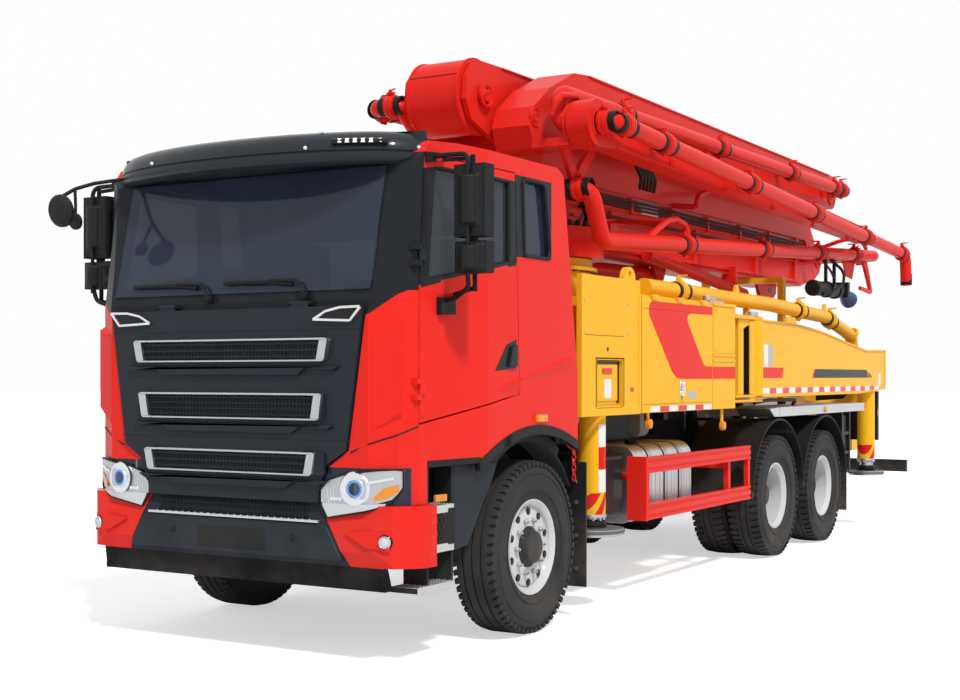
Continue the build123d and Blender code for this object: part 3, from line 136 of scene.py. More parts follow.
class Net:
    """Builds one material's nodes."""

    def __init__(self, name):
        self.material = bpy.data.materials.new(name)
        self.material.use_nodes = True
        self.tree = self.material.node_tree
        self.shader = self.tree.nodes["Principled BSDF"]
        self.coords = None

    def feed(self, socket, value):
        if isinstance(value, Value):
            value = value.socket
        if isinstance(value, bpy.types.NodeSocket):
            self.tree.links.new(value, socket)
        else:
            socket.default_value = value

    def node(self, kind, settings=None, output=0, **values):
        """Makes a node: its settings first, then the values or links of its inputs."""
        node = self.tree.nodes.new(kind)
        for key, value in (settings or {}).items():
            if key == "stops":
                ramp = node.color_ramp
                while len(ramp.elements) < len(value):
                    ramp.elements.new(0.5)
                for element, (place, colour) in zip(ramp.elements, value):
                    element.position = place
                    element.color = colour
            else:
                setattr(node, key, value)
        for key, value in values.items():
            self.feed(node.inputs[key.replace("_", " ")], value)
        return Value(self, node.outputs[output])

    def xyz(self):
        """Object coordinates as three values."""
        if self.coords is None:
            place = self.tree.nodes.new("ShaderNodeTexCoord")
            split = self.tree.nodes.new("ShaderNodeSeparateXYZ")
            self.tree.links.new(place.outputs["Object"], split.inputs[0])
            self.coords = [Value(self, place.outputs["Object"])] + [Value(self, o) for o in split.outputs]
        return self.coords

    def noise(self, scale, detail=3.0, roughness=0.55, stretch=None):
        vector = self.xyz()[0]
        if stretch:
            vector = self.node("ShaderNodeMapping", Vector=vector, Scale=stretch)
        return self.node("ShaderNodeTexNoise", Vector=vector, Scale=scale, Detail=detail, Roughness=roughness)

    def mix(self, factor, first, second):
        node = self.tree.nodes.new("ShaderNodeMix")
        node.data_type = "RGBA"
        self.feed(node.inputs[0], factor)
        self.feed(node.inputs[6], first)
        self.feed(node.inputs[7], second)
        return Value(self, node.outputs[2])

    def bump(self, height, distance, strength=1.0):
        normal = self.node("ShaderNodeBump", Height=height, Distance=distance, Strength=strength)
        self.feed(self.shader.inputs["Normal"], normal)

    def set(self, **values):
        for key, value in values.items():
            self.feed(self.shader.inputs[key.replace("_", " ")], value)
        return self.material


PAINT_SHEEN = 0.07      # specular level that keeps the paint's colour deep under a white sky
LACQUER_ROUGHNESS = 0.08
MUD = (0.34, 0.30, 0.25, 1.0)
DUST = (0.30, 0.27, 0.23, 1.0)


def rgba(colour, share=1.0):
    return (colour[0] * share, colour[1] * share, colour[2] * share, 1.0)


def stepped(value, low, high):
    """0 below low, 1 above high, straight between."""
    return ((value - low) / (high - low)).at_least(0.0).at_most(1.0)


def road_dust(net, top=0.9):
    """Share of dry dust, thicker near the ground."""
    z = net.xyz()[3]
    patches = net.noise(2.3, 5.0, 0.65)
    return (1.0 - stepped(z, 0.15, top)) * stepped(patches, 0.35, 0.75)


def lacquered(net, shade, roughness, coat):
    """Ends a paint with orange peel, a low shine and clear lacquer."""
    net.bump(net.noise(160.0, 2.0), 0.0004, 0.12)
    net.shader.inputs["Specular IOR Level"].default_value = PAINT_SHEEN
    return net.set(Base_Color=shade, Roughness=roughness, Coat_Weight=coat, Coat_Roughness=LACQUER_ROUGHNESS)


def gloss_paint(name, colour, roughness=0.28, dust=0.25, coat=0.6, fleck=0.05):
    net = Net(name)
    broad = net.noise(0.8, 4.0)
    fine = net.noise(55.0, 3.0)
    shade = net.mix(broad, rgba(colour, 0.93), rgba(colour, 1.05))
    shade = net.mix(stepped(fine, 0.5, 0.9) * fleck, shade, rgba(colour, 0.7))
    dirt = road_dust(net) * dust
    shade = net.mix(dirt, shade, MUD)
    return lacquered(net, shade, roughness + fine * 0.06 + dirt * 0.5, coat)


def plastic(name, colour, roughness=0.5, grain=0.0004, dust=0.2):
    net = Net(name)
    fine = net.noise(420.0, 2.0)
    broad = net.noise(3.0, 4.0)
    shade = net.mix(broad, rgba(colour, 0.85), rgba(colour, 1.2))
    dirt = road_dust(net) * dust
    shade = net.mix(dirt, shade, DUST)
    net.bump(fine, grain, 0.4)
    net.shader.inputs["Specular IOR Level"].default_value = 0.2
    return net.set(Base_Color=shade, Roughness=roughness + broad * 0.12 + dirt * 0.3)


def metal(name, colour, roughness=0.3, streak=(1.0, 1.0, 1.0), bump=0.0002, dust=0.0):
    net = Net(name)
    fine = net.noise(90.0, 4.0, 0.6, streak)
    broad = net.noise(4.0, 3.0)
    shade = net.mix(fine, rgba(colour, 0.82), rgba(colour, 1.08))
    dirt = road_dust(net) * dust
    shade = net.mix(dirt, shade, DUST)
    net.bump(fine, bump, 0.35)
    return net.set(Base_Color=shade, Metallic=1.0 - dirt, Roughness=roughness + fine * 0.15 + broad * 0.08)


def rubber(name, colour=(0.022, 0.022, 0.023), roughness=0.72):
    net = Net(name)
    broad = net.noise(6.0, 5.0, 0.6)
    fine = net.noise(240.0, 3.0)
    shade = net.mix(broad, rgba(colour, 0.8), rgba(colour, 1.7))
    dirt = road_dust(net, 1.2) * 0.35
    shade = net.mix(dirt, shade, (0.16, 0.145, 0.125, 1.0))
    net.bump(fine, 0.0006, 0.4)
    net.shader.inputs["Specular IOR Level"].default_value = 0.2
    return net.set(Base_Color=shade, Roughness=roughness + broad * 0.12)


def tinted_glass(name, colour, alpha=0.35, roughness=0.03):
    net = Net(name)
    film = net.noise(1.6, 4.0, 0.6)
    shade = net.mix(film, rgba(colour, 0.8), rgba(colour, 1.3))
    material = net.set(Base_Color=shade, Roughness=roughness + film * 0.03, Alpha=alpha + film * 0.08)
    net.shader.inputs["IOR"].default_value = 1.5
    net.shader.inputs["Specular IOR Level"].default_value = 0.35
    return material


def lamp_cover(name, colour, roughness=0.12, glow=0.0):
    net = Net(name)
    ribs = ((net.xyz()[2] * 90.0).fract() - 0.5).absolute()
    shade = net.mix(ribs, rgba(colour, 0.75), rgba(colour, 1.15))
    net.bump(ribs, 0.001, 0.3)
    material = net.set(Base_Color=shade, Roughness=roughness + ribs * 0.05)
    if glow:
        net.feed(net.shader.inputs["Emission Color"], shade)
        net.shader.inputs["Emission Strength"].default_value = glow
    return material


# ---------------------------------------------------------------- shapes
def at(x, y, z):
    """A point from its place behind or ahead of the front axle."""
    return Vector((AXLE_X + x, y, z))


class Shape:
    """Gathers faces for one piece."""

    def __init__(self):
        self.mesh = bmesh.new()

    def skin(self, rings, ring=False):
        """Faces between rings of corners with the same count, closed by end caps or as a ring."""
        for low, high in zip(rings, rings[1:] + rings[:1] if ring else rings[1:]):
            for i in range(len(low)):
                j = (i + 1) % len(low)
                self.mesh.faces.new((low[i], low[j], high[j], high[i]))
        if not ring:
            self.mesh.faces.new(list(reversed(rings[0])))
            self.mesh.faces.new(rings[-1])
        return self

    def hull(self, *rings):
        """A solid through rings of points with the same count."""
        return self.skin([[self.mesh.verts.new(p) for p in ring] for ring in rings])

    def box(self, x0, x1, y0, y1, z0, z1):
        ring = [(x0, y0), (x1, y0), (x1, y1), (x0, y1)]
        return self.hull([at(x, y, z0) for x, y in ring], [at(x, y, z1) for x, y in ring])

    def slab_y(self, points, y0, y1):
        """Outline of (x, z), from y0 to y1."""
        return self.hull([at(x, y0, z) for x, z in points], [at(x, y1, z) for x, z in points])

    def slab_x(self, points, x0, x1):
        """Outline of (y, z), from x0 to x1."""
        return self.hull([at(x0, y, z) for y, z in points], [at(x1, y, z) for y, z in points])

    def on_side(self, points, side, inner, outer):
        """A plate with the outline (x, z) on the cab's side, between two distances from its surface."""
        return self.hull(*([at(x, side * (side_at(x) + y), z) for x, z in points] for y in (inner, outer)))

    def rod(self, start, end, radius, sides=16, end_radius=None):
        """A round bar between two points."""
        a, b = Vector(start), Vector(end)
        turn = (b - a).to_track_quat("Z", "Y")
        far = radius if end_radius is None else end_radius
        rings = []
        for centre, r in ((a, radius), (b, far)):
            rings.append([centre + turn @ Vector((r * math.cos(t), r * math.sin(t), 0))
                          for t in (2 * math.pi * i / sides for i in range(sides))])
        return self.hull(*rings)

    def lathe(self, centre, axis, profile, sides=48, phase=0.0, ring=False):
        """Turns (distance along the axis, radius) pairs about an axis, closed by end caps or as a ring."""
        turn = Vector(axis).to_track_quat("Z", "Y")
        rings = []
        for along, radius in profile:
            rings.append([self.mesh.verts.new(Vector(centre) + turn @ Vector(
                (max(radius, 1e-5) * math.cos(t), max(radius, 1e-5) * math.sin(t), along)))
                for t in (phase + 2 * math.pi * i / sides for i in range(sides))])
        return self.skin(rings, ring)

    def pipe(self, points, radius, bend=0.1, sides=16, steps=6):
        """A tube through points, with rounded corners."""
        path = rounded(points, bend, steps)
        rings = []
        up = None
        for i, place in enumerate(path):
            before = path[max(i - 1, 0)]
            after = path[min(i + 1, len(path) - 1)]
            along = (after - before).normalized()
            if up is None:
                up = along.orthogonal().normalized()
            up = (up - along * up.dot(along)).normalized()
            side = along.cross(up)
            rings.append([self.mesh.verts.new(place + (up * math.cos(t) + side * math.sin(t)) * radius)
                          for t in (2 * math.pi * k / sides for k in range(sides))])
        return self.skin(rings)

    def add_mesh(self, mesh, place):
        """Joins a mesh's faces to this shape, moved to a point or by a matrix."""
        matrix = Matrix.Translation(place) if isinstance(place, Vector) else place
        start = len(self.mesh.verts)
        self.mesh.from_mesh(mesh)
        self.mesh.verts.ensure_lookup_table()
        bmesh.ops.transform(self.mesh, matrix=matrix, verts=self.mesh.verts[start:])
        return self

    def piece(self, name, body, material, bevel=0.0, smooth=35.0, segments=2, replaces=(), slot=None):
        """Turns the faces into an object that rides on a body. Its slot argument is not used."""
        bmesh.ops.remove_doubles(self.mesh, verts=self.mesh.verts, dist=1e-5)
        bmesh.ops.recalc_face_normals(self.mesh, faces=self.mesh.faces)
        for face in self.mesh.faces:
            face.smooth = True
        for edge in self.mesh.edges:
            if len(edge.link_faces) == 2 and edge.calc_face_angle(0.0) > math.radians(smooth):
                edge.smooth = False
        data = bpy.data.meshes.new(name)
        self.mesh.to_mesh(data)
        self.mesh.free()
        piece = bpy.data.objects.new(name, data)
        bpy.context.collection.objects.link(piece)
        data.materials.append(paint(material))
        if bevel:
            round_off = piece.modifiers.new("edges", "BEVEL")
            round_off.width = bevel
            round_off.segments = segments
            round_off.limit_method = "ANGLE"
            round_off.angle_limit = math.radians(30)
            round_off.harden_normals = True
        settle(piece, body, replaces)
        return piece


def settle(piece, body, replaces=()):
    """Says what a finished piece rides on and stands for."""
    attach(piece, body)
    if replaces:
        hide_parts(*replaces)


def rounded(points, radius, steps=6):
    """The same path with an arc at each corner."""
    points = [Vector(p) for p in points]
    path = [points[0]]
    for before, corner, after in zip(points, points[1:], points[2:]):
        back = (before - corner).normalized()
        on = (after - corner).normalized()
        half = back.angle(on) / 2
        reach = min(radius / math.tan(half), (before - corner).length * 0.48, (after - corner).length * 0.48)
        arc = reach * math.tan(half)
        centre = corner + (back + on).normalized() * (arc / math.sin(half))
        first = corner + back * reach - centre
        last = corner + on * reach - centre
        axis = first.cross(last)
        if axis.length < 1e-9:
            path.append(corner)
            continue
        sweep = first.angle(last)
        for i in range(steps + 1):
            path.append(centre + Matrix.Rotation(sweep * i / steps, 3, axis.normalized()) @ first)
    path.append(points[-1])
    return path


# ---------------------------------------------------------------- repeats by Geometry Nodes
class Repeats:
    """A Geometry Nodes tree that puts copies of a small shape on points."""

    def __init__(self, name):
        self.tree = bpy.data.node_groups.new(name, "GeometryNodeTree")
        self.tree.interface.new_socket("Geometry", in_out="OUTPUT", socket_type="NodeSocketGeometry")
        self.keys = {}
        self.values = {}
        self.source = None

    def size(self, name, value, kind="NodeSocketFloat"):
        socket = self.tree.interface.new_socket(name, in_out="INPUT", socket_type=kind)
        socket.default_value = value
        self.keys[name] = socket.identifier
        self.values[name] = value

    def input(self, name):
        if self.source is None:
            self.source = self.tree.nodes.new("NodeGroupInput")
        return self.source.outputs[name]

    def node(self, kind, settings=None, **values):
        node = self.tree.nodes.new(kind)
        for key, value in (settings or {}).items():
            setattr(node, key, value)
        for key, value in values.items():
            socket = node.inputs[key.replace("_", " ")]
            if isinstance(value, bpy.types.NodeSocket):
                self.tree.links.new(value, socket)
            else:
                socket.default_value = value
        return node

    def grown(self, geometry):
        """Realizes the copies into one plain mesh."""
        real = self.node("GeometryNodeRealizeInstances", Geometry=geometry)
        out = self.tree.nodes.new("NodeGroupOutput")
        self.tree.links.new(real.outputs[0], out.inputs[0])
        holder = bpy.data.objects.new("holder", bpy.data.meshes.new("holder"))
        bpy.context.collection.objects.link(holder)
        layer = holder.modifiers.new("repeats", "NODES")
        layer.node_group = self.tree
        for name, key in self.keys.items():
            layer[key] = self.values[name]
        graph = bpy.context.evaluated_depsgraph_get()
        mesh = bpy.data.meshes.new_from_object(holder.evaluated_get(graph))
        bpy.data.objects.remove(holder)
        return mesh


def ring_of_heads(count, radius, head_radius, head_height, sides=6):
    """Bolt heads on a circle in the XY plane, standing along +Z."""
    net = Repeats("ring_of_heads")
    net.size("Count", count, "NodeSocketInt")
    net.size("Circle Radius", radius)
    net.size("Head Radius", head_radius)
    net.size("Head Height", head_height)
    circle = net.node("GeometryNodeMeshCircle", Vertices=net.input("Count"),
                      Radius=net.input("Circle Radius"))
    head = net.node("GeometryNodeMeshCylinder", Vertices=sides, Radius=net.input("Head Radius"),
                    Depth=net.input("Head Height"))
    copies = net.node("GeometryNodeInstanceOnPoints", Points=circle.outputs[0], Instance=head.outputs[0])
    return net.grown(copies.outputs[0])


def row_of_heads(count, step, head_radius, head_height, sides=6, turn=(0.0, 0.0, 0.0)):
    """Heads on a straight line, each turned the same way."""
    net = Repeats("row_of_heads")
    net.size("Count", count, "NodeSocketInt")
    net.size("Head Radius", head_radius)
    net.size("Head Height", head_height)
    line = net.node("GeometryNodeMeshLine", Count=net.input("Count"), Offset=step)
    head = net.node("GeometryNodeMeshCylinder", Vertices=sides, Radius=net.input("Head Radius"),
                    Depth=net.input("Head Height"))
    copies = net.node("GeometryNodeInstanceOnPoints", Points=line.outputs[0], Instance=head.outputs[0],
                      Rotation=turn)
    return net.grown(copies.outputs[0])


def facing(axis, centre):
    """Matrix that stands a shape made along +Z on a point, along an axis."""
    turn = Vector(axis).to_track_quat("Z", "Y").to_matrix().to_4x4()
    return Matrix.Translation(Vector(centre)) @ turn


# ---------------------------------------------------------------- sizes and colours
class PaintColours(bpy.types.PropertyGroup):
    """Colours of the painted surfaces."""
    red: FloatVectorProperty(name="Red", description="Cab and boom paint", subtype="COLOR", size=3,
                             default=(0.80, 0.022, 0.014))
    yellow: FloatVectorProperty(name="Yellow", description="Body and outrigger paint", subtype="COLOR",
                                size=3, default=(0.90, 0.47, 0.018))
    trim: FloatVectorProperty(name="Trim", description="Dark grey plastic of the cab's front",
                              subtype="COLOR", size=3, default=(0.015, 0.020, 0.027))


class StageSizes(bpy.types.PropertyGroup):
    """Camera and light."""
    lens: FloatProperty(name="Lens", description="Focal length", default=53.8, unit="CAMERA")
    sun: FloatProperty(name="Sun", description="Strength of the main light", default=2.6)
    fill: FloatProperty(name="Fill", description="Strength of the sky light", default=0.52)


def paint(name):
    """A material by name; the first call makes them all."""
    if name not in bpy.data.materials:
        make_paints()
    return bpy.data.materials[name]


def make_paints():
    """Makes every plain material."""
    colours = bpy.context.scene.pump_paint
    red, yellow, trim = (tuple(c) for c in (colours.red, colours.yellow, colours.trim))
    gloss_paint("cab_red", red, 0.30, 0.1, 0.07)
    gloss_paint("boom_red", (red[0] * 0.92, red[1], red[2]), 0.36, 0.03, 0.06)
    gloss_paint("body_yellow", yellow, 0.32, 0.1, 0.06)
    gloss_paint("frame_black", (0.018, 0.018, 0.019), 0.42, 0.45, 0.2)
    gloss_paint("white_paint", (0.8, 0.8, 0.8), 0.3, 0.3, 0.4)
    gloss_paint("wheel_silver", (0.62, 0.63, 0.64), 0.35, 0.4, 0.2)
    plastic("trim_grey", trim, 0.42)
    plastic("trim_black", (0.012, 0.012, 0.013), 0.5)
    plastic("seat_cloth", (0.02, 0.022, 0.028), 0.85, 0.001)
    plastic("hose_black", (0.008, 0.008, 0.008), 0.45)
    metal("chrome", (0.82, 0.83, 0.85), 0.08)
    metal("satin_steel", (0.55, 0.56, 0.58), 0.3, dust=0.2)
    metal("bright_aluminium", (0.68, 0.69, 0.70), 0.34, (1.0, 8.0, 1.0), dust=0.3)
    metal("cast_metal", (0.12, 0.12, 0.125), 0.55, dust=0.5)
    rubber("tyre_black")
    tinted_glass("window_glass", (0.022, 0.036, 0.062), 0.66)
    plastic("grille_dark", (0.012, 0.014, 0.018), 0.4, 0.0, 0.1)
    gloss_paint("visor_grey", (0.020, 0.024, 0.030), 0.28, 0.1, 0.3)
    gloss_paint("funnel_blue", (0.015, 0.05, 0.16), 0.4, 0.1, 0.2)
    lamp_cover("lamp_blue", (0.10, 0.30, 0.9), 0.15, 0.5)
    tinted_glass("side_glass", (0.03, 0.045, 0.06), 0.62)
    lamp_cover("lamp_clear", (0.75, 0.78, 0.8))
    lamp_cover("lamp_amber", (0.9, 0.30, 0.02))
    lamp_cover("lamp_white", (0.95, 0.95, 0.95), 0.2, 0.6)
    gloss_paint("reflector_red", (0.7, 0.02, 0.02), 0.3, 0.0, 0.5)
    # Black for seams and marks, and for painted shade in holes, recesses and slots.
    gloss_paint("black_marks_and_shade", (0.012, 0.012, 0.012), 0.4, 0.0, 0.3)


def dress(material, *nodes):
    """Gives CAD nodes a material."""
    for node in nodes:
        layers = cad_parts[node].data.materials
        layers.clear()
        layers.append(material)


NODE_PAINT = {
    "cab_red": ["cab_shell", "front_bumper", "door_left", "door_right", "side_guards"],
    "boom_red": ["turret", "arm_1", "arm_2", "arm_3", "arm_4", "arm_5", "lift_barrel"],
    "body_yellow": ["pedestal", "outrigger_frames", "cabinets", "cabinet_door_left", "cabinet_door_right",
                    "deck_line", "hopper", "front_beam_left", "front_beam_right", "rear_beam_left",
                    "rear_beam_right"],
    "frame_black": ["chassis_frame", "front_axle", "rear_axles", "side_equipment", "tail_panel",
                    "mudguards"],
    "cast_metal": ["engine", "knuckle_left", "knuckle_right", "tie_rod"],
    "trim_grey": ["front_lid"],
    "trim_black": ["cab_steps", "roof_visor"],
    "bright_aluminium": ["fuel_tank", "platforms"],
    "satin_steel": ["pump_cylinders", "lift_rod", "agitator", "hopper_grate", "front_jack_left",
                    "front_jack_right", "rear_jack_left", "rear_jack_right"],
    "seat_cloth": ["cab_interior"],
    "window_glass": ["cab_glass"],
    "wheel_silver": ["front_rim_left", "front_rim_right", "rear_rim_1_left", "rear_rim_1_right",
                     "rear_rim_2_left", "rear_rim_2_right"],
    "tyre_black": ["front_tyre_left", "front_tyre_right", "rear_tyres_1_left", "rear_tyres_1_right",
                   "rear_tyres_2_left", "rear_tyres_2_right"],
}


class PUMP_OT_paint_frame(bpy.types.Operator):
    """Paint every CAD part"""
    bl_idname = "pump.paint_frame"
    bl_label = "Paint the parts"

    def execute(self, context):
        for material, nodes in NODE_PAINT.items():
            dress(paint(material), *nodes)
        return {"FINISHED"}


CAMERA_PLACE = (7.871, 5.530, 1.616)
CAMERA_HEADING = math.radians(30.92)
CAMERA_SHIFT = 0.0264
FLOOR_REACH = 120.0


class PUMP_OT_stage(bpy.types.Operator):
    """Floor, sky, sun and camera"""
    bl_idname = "pump.stage"
    bl_label = "Stage"

    def execute(self, context):
        context.scene.view_settings.view_transform = "Standard"
        self.sky(context.scene)
        self.floor(context)
        self.sun(context)
        self.camera(context)
        return {"FINISHED"}

    def sky(self, scene):
        """Pale blue light, white where the camera or a reflection looks past the truck."""
        world = bpy.data.worlds.new("studio")
        scene.world = world
        world.use_nodes = True
        tree = world.node_tree
        tree.nodes.clear()
        out = tree.nodes.new("ShaderNodeOutputWorld")
        soft = tree.nodes.new("ShaderNodeBackground")
        soft.inputs["Color"].default_value = (0.86, 0.92, 1.0, 1.0)
        soft.inputs["Strength"].default_value = scene.pump_stage.fill
        white = tree.nodes.new("ShaderNodeBackground")
        white.inputs["Color"].default_value = (1.0, 1.0, 1.0, 1.0)
        rays = tree.nodes.new("ShaderNodeLightPath")
        seen = tree.nodes.new("ShaderNodeMath")
        seen.operation = "MAXIMUM"
        tree.links.new(rays.outputs["Is Camera Ray"], seen.inputs[0])
        tree.links.new(rays.outputs["Is Transmission Ray"], seen.inputs[1])
        mirrored = tree.nodes.new("ShaderNodeMath")
        mirrored.operation = "MAXIMUM"
        tree.links.new(seen.outputs[0], mirrored.inputs[0])
        tree.links.new(rays.outputs["Is Glossy Ray"], mirrored.inputs[1])
        choose = tree.nodes.new("ShaderNodeMixShader")
        tree.links.new(mirrored.outputs[0], choose.inputs[0])
        tree.links.new(soft.outputs[0], choose.inputs[1])
        tree.links.new(white.outputs[0], choose.inputs[2])
        tree.links.new(choose.outputs[0], out.inputs[0])

    def floor(self, context):
        """White ground that takes shadows and glows a little towards the camera."""
        floor_data = bpy.data.meshes.new("floor")
        reach = FLOOR_REACH
        floor_data.from_pydata([(-reach, -reach, 0), (reach, -reach, 0), (reach, reach, 0),
                                (-reach, reach, 0)], [], [(0, 1, 2, 3)])
        floor = bpy.data.objects.new("floor", floor_data)
        context.collection.objects.link(floor)
        net = Net("floor_pale")
        net.set(Base_Color=(0.9, 0.9, 0.9, 1), Roughness=0.9)
        tree = net.tree
        rays = tree.nodes.new("ShaderNodeLightPath")
        glow = tree.nodes.new("ShaderNodeEmission")
        glow.inputs["Color"].default_value = (1, 1, 1, 1)
        glow.inputs["Strength"].default_value = 0.55
        both = tree.nodes.new("ShaderNodeAddShader")
        choose = tree.nodes.new("ShaderNodeMixShader")
        tree.links.new(net.shader.outputs[0], both.inputs[0])
        tree.links.new(glow.outputs[0], both.inputs[1])
        tree.links.new(rays.outputs["Is Camera Ray"], choose.inputs[0])
        tree.links.new(net.shader.outputs[0], choose.inputs[1])
        tree.links.new(both.outputs[0], choose.inputs[2])
        tree.links.new(choose.outputs[0], tree.nodes["Material Output"].inputs[0])
        floor_data.materials.append(net.material)

    def sun(self, context):
        """High light from ahead and the left."""
        sun = bpy.data.lights.new("sun", "SUN")
        sun.energy = context.scene.pump_stage.sun
        sun.angle = math.radians(6)
        sun.color = (1.0, 0.97, 0.92)
        lamp = bpy.data.objects.new("sun", sun)
        lamp.rotation_euler = Vector((0.55, 0.75, 1.15)).to_track_quat("Z", "Y").to_euler()
        context.collection.objects.link(lamp)

    def camera(self, context):
        """Level camera ahead of the truck's left corner."""
        eye = bpy.data.cameras.new("camera")
        eye.lens = context.scene.pump_stage.lens
        eye.sensor_width = 36.0
        eye.shift_y = CAMERA_SHIFT
        eye.clip_end = 500.0
        camera = bpy.data.objects.new("camera", eye)
        camera.location = at(*CAMERA_PLACE)
        aim = Vector((-math.cos(CAMERA_HEADING), -math.sin(CAMERA_HEADING), 0.0))
        camera.rotation_euler = aim.to_track_quat("-Z", "Y").to_euler()
        context.collection.objects.link(camera)
        context.scene.camera = camera


# ---------------------------------------------------------------- wheels
TREAD_DEPTH = 0.014
TYRE_HALF = 0.1475      # half of a tyre's width
RIM_R = 0.292


class WheelSizes(bpy.types.PropertyGroup):
    """Tyres and wheel nuts."""
    lugs: IntProperty(name="Lugs", description="Shoulder blocks round one tyre", default=54)
    nuts: IntProperty(name="Nuts", description="Wheel nuts on one wheel", default=10)


def tyre(x, y, side, lugs, steer):
    """One tyre: ribbed tread, shoulder blocks and rings on the sidewall."""
    outer = WHEEL_Z
    floor = outer - TREAD_DEPTH
    half = TYRE_HALF
    shape = Shape()
    wall = [(-half + 0.038, RIM_R), (-half + 0.010, RIM_R + 0.045), (-half + 0.002, RIM_R + 0.10),
            (-half + 0.003, RIM_R + 0.150), (-half + 0.012, floor - 0.035), (-half + 0.030, floor - 0.006)]
    ribs = []
    grooves = (-0.062, 0.0, 0.062) if steer else (-0.03, 0.03)
    for middle in grooves:
        ribs += [(middle - 0.007, outer - 0.001), (middle - 0.005, floor), (middle + 0.005, floor),
                 (middle + 0.007, outer - 0.001)]
    edge = 0.098 if steer else 0.055
    tread = [(-edge - 0.006, floor), (-edge, outer - 0.001)] + ribs + [(edge, outer - 0.001),
                                                                       (edge + 0.006, floor)]
    far = [(-a, r) for a, r in reversed(wall)]
    shape.lathe(at(x, y, WHEEL_Z), (0, side, 0), wall + tread + far, 96, ring=True)
    for ring in (0.055, 0.165):
        for face in (-1, 1):
            shape.lathe(at(x, y, WHEEL_Z), (0, side, 0), [(face * (half - 0.006), RIM_R + ring),
                                                          (face * (half - 0.001), RIM_R + ring + 0.003),
                                                          (face * (half - 0.006), RIM_R + ring + 0.007)], 72,
                        ring=True)
    width = 0.042 if steer else 0.082
    pitch = 2 * math.pi / lugs
    for face in (-1, 1):
        for i in range(lugs):
            lean = face * pitch * 0.22
            a = i * pitch + (0.5 * pitch if face > 0 else 0)
            ring = []
            for across, turn in ((half - 0.012 - width, 0), (half - 0.008, lean)):
                for step in (-0.3, 0.3):
                    t = a + turn + step * pitch
                    ring.append((face * across, t))
            order = (ring[0], ring[1], ring[3], ring[2])
            low = [at(x + (floor - 0.02) * math.cos(t), y + side * w, WHEEL_Z + (floor - 0.02) * math.sin(t))
                   for w, t in order]
            high = [at(x + (outer - 0.001 - (0.008 if abs(w) > half - 0.02 else 0)) * math.cos(t),
                       y + side * w,
                       WHEEL_Z + (outer - 0.001 - (0.008 if abs(w) > half - 0.02 else 0)) * math.sin(t))
                    for w, t in order]
            shape.hull(low, high)
    return shape


def wheel_face(name, body, x, side, face_y, holes_r, hub_reach, sizes):
    """Nuts, hub, and black discs of painted shade in the hand holes, on the outer face of a wheel."""
    steel = Shape()
    outward = (0, side, 0)
    nuts = ring_of_heads(sizes.nuts, 0.1675, 0.017, 0.034)
    steel.add_mesh(nuts, facing(outward, at(x, side * (face_y + 0.012), WHEEL_Z)))
    studs = ring_of_heads(sizes.nuts, 0.1675, 0.009, 0.056, 10)
    steel.add_mesh(studs, facing(outward, at(x, side * (face_y + 0.016), WHEEL_Z)))
    steel.piece(name + "_nuts", body, "satin_steel", 0.002)
    hub = Shape()
    hub.lathe(at(x, side * face_y, WHEEL_Z), outward,
              [(0, 0.128), (0.012, 0.125), (0.02, 0.112), (hub_reach * 0.7, 0.104), (hub_reach * 0.93, 0.100),
               (hub_reach, 0.090), (hub_reach + 0.002, 0.0)], 40)
    bolts = ring_of_heads(8, 0.112, 0.008, 0.012)
    hub.add_mesh(bolts, facing(outward, at(x, side * (face_y + 0.022), WHEEL_Z)))
    hub.piece(name + "_hub", body, "frame_black", 0.002)
    # Black discs in the hand holes are painted shade, standing for the hollow behind each hole.
    holes = Shape()
    for i in range(sizes.nuts):
        t = 2 * math.pi * (i + 0.5) / sizes.nuts
        centre = at(x + holes_r * math.cos(t), side * face_y, WHEEL_Z + holes_r * math.sin(t))
        holes.lathe(centre, outward, [(-0.004, 0.023), (0.0095, 0.023), (0.0105, 0.020), (0.0105, 0.0)], 20)
    holes.piece(name + "_hand_hole_shade", body, "black_marks_and_shade")


class PUMP_OT_wheels(bpy.types.Operator):
    """Tyres with tread, nuts and hubs"""
    bl_idname = "pump.wheels"
    bl_label = "Wheels"

    def execute(self, context):
        sizes = context.scene.pump_wheels
        for name, side in SIDES:
            front = tyre(0, side * FRONT_TYRE_Y, side, sizes.lugs + 6, True)
            front.piece(f"front_tyre_tread_{name}", f"front_wheel_{name}", "tyre_black",
                        replaces=(f"front_tyre_{name}",))
            wheel_face(f"front_{name}", f"front_wheel_{name}", 0, side, FRONT_DISC_Y, 0.222, 0.058, sizes)
            trim = Shape()
            trim.lathe(at(0, side * FRONT_TYRE_Y, WHEEL_Z), (0, side, 0),
                       [(0.098, 0.262), (0.118, 0.280), (0.124, 0.297), (0.118, 0.300), (0.100, 0.290)], 72,
                       ring=True)
            trim.lathe(at(0, side * FRONT_DISC_Y, WHEEL_Z), (0, side, 0), [(-0.02, 0.252), (0.0, 0.246),
                                                                           (0.006, 0.20), (0.008, 0.145),
                                                                           (0.008, 0.130), (-0.01, 0.128)],
                       72, ring=True)
            trim.piece(f"front_disc_{name}", f"front_wheel_{name}", "wheel_silver")
            for number, x in REAR_AXLES:
                body = f"rear_wheel_{number}_{name}"
                for place, y in REAR_TYRES_Y:
                    tyre(x, side * y, side, sizes.lugs, False).piece(f"rear_tyre_{number}_{place}_{name}",
                                                                     body, "tyre_black",
                                                                     replaces=(f"rear_tyres_{number}_{name}",)
                                                                     if place == "outer" else ())
                wheel_face(f"rear_{number}_{name}", body, x, side, 0.948, 0.215, 0.163, sizes)
        return {"FINISHED"}


# ---------------------------------------------------------------- cab
TAPER_X = 0.62
DOOR_FRONT = 1.255
DOOR_EDGE_Y = 1.172
LID_FACE = 1.466
GRILLE_BARS = ((1.70, 1.82, 0.725), (1.37, 1.51, 0.685), (1.06, 1.18, 0.637))     # low, high, half width


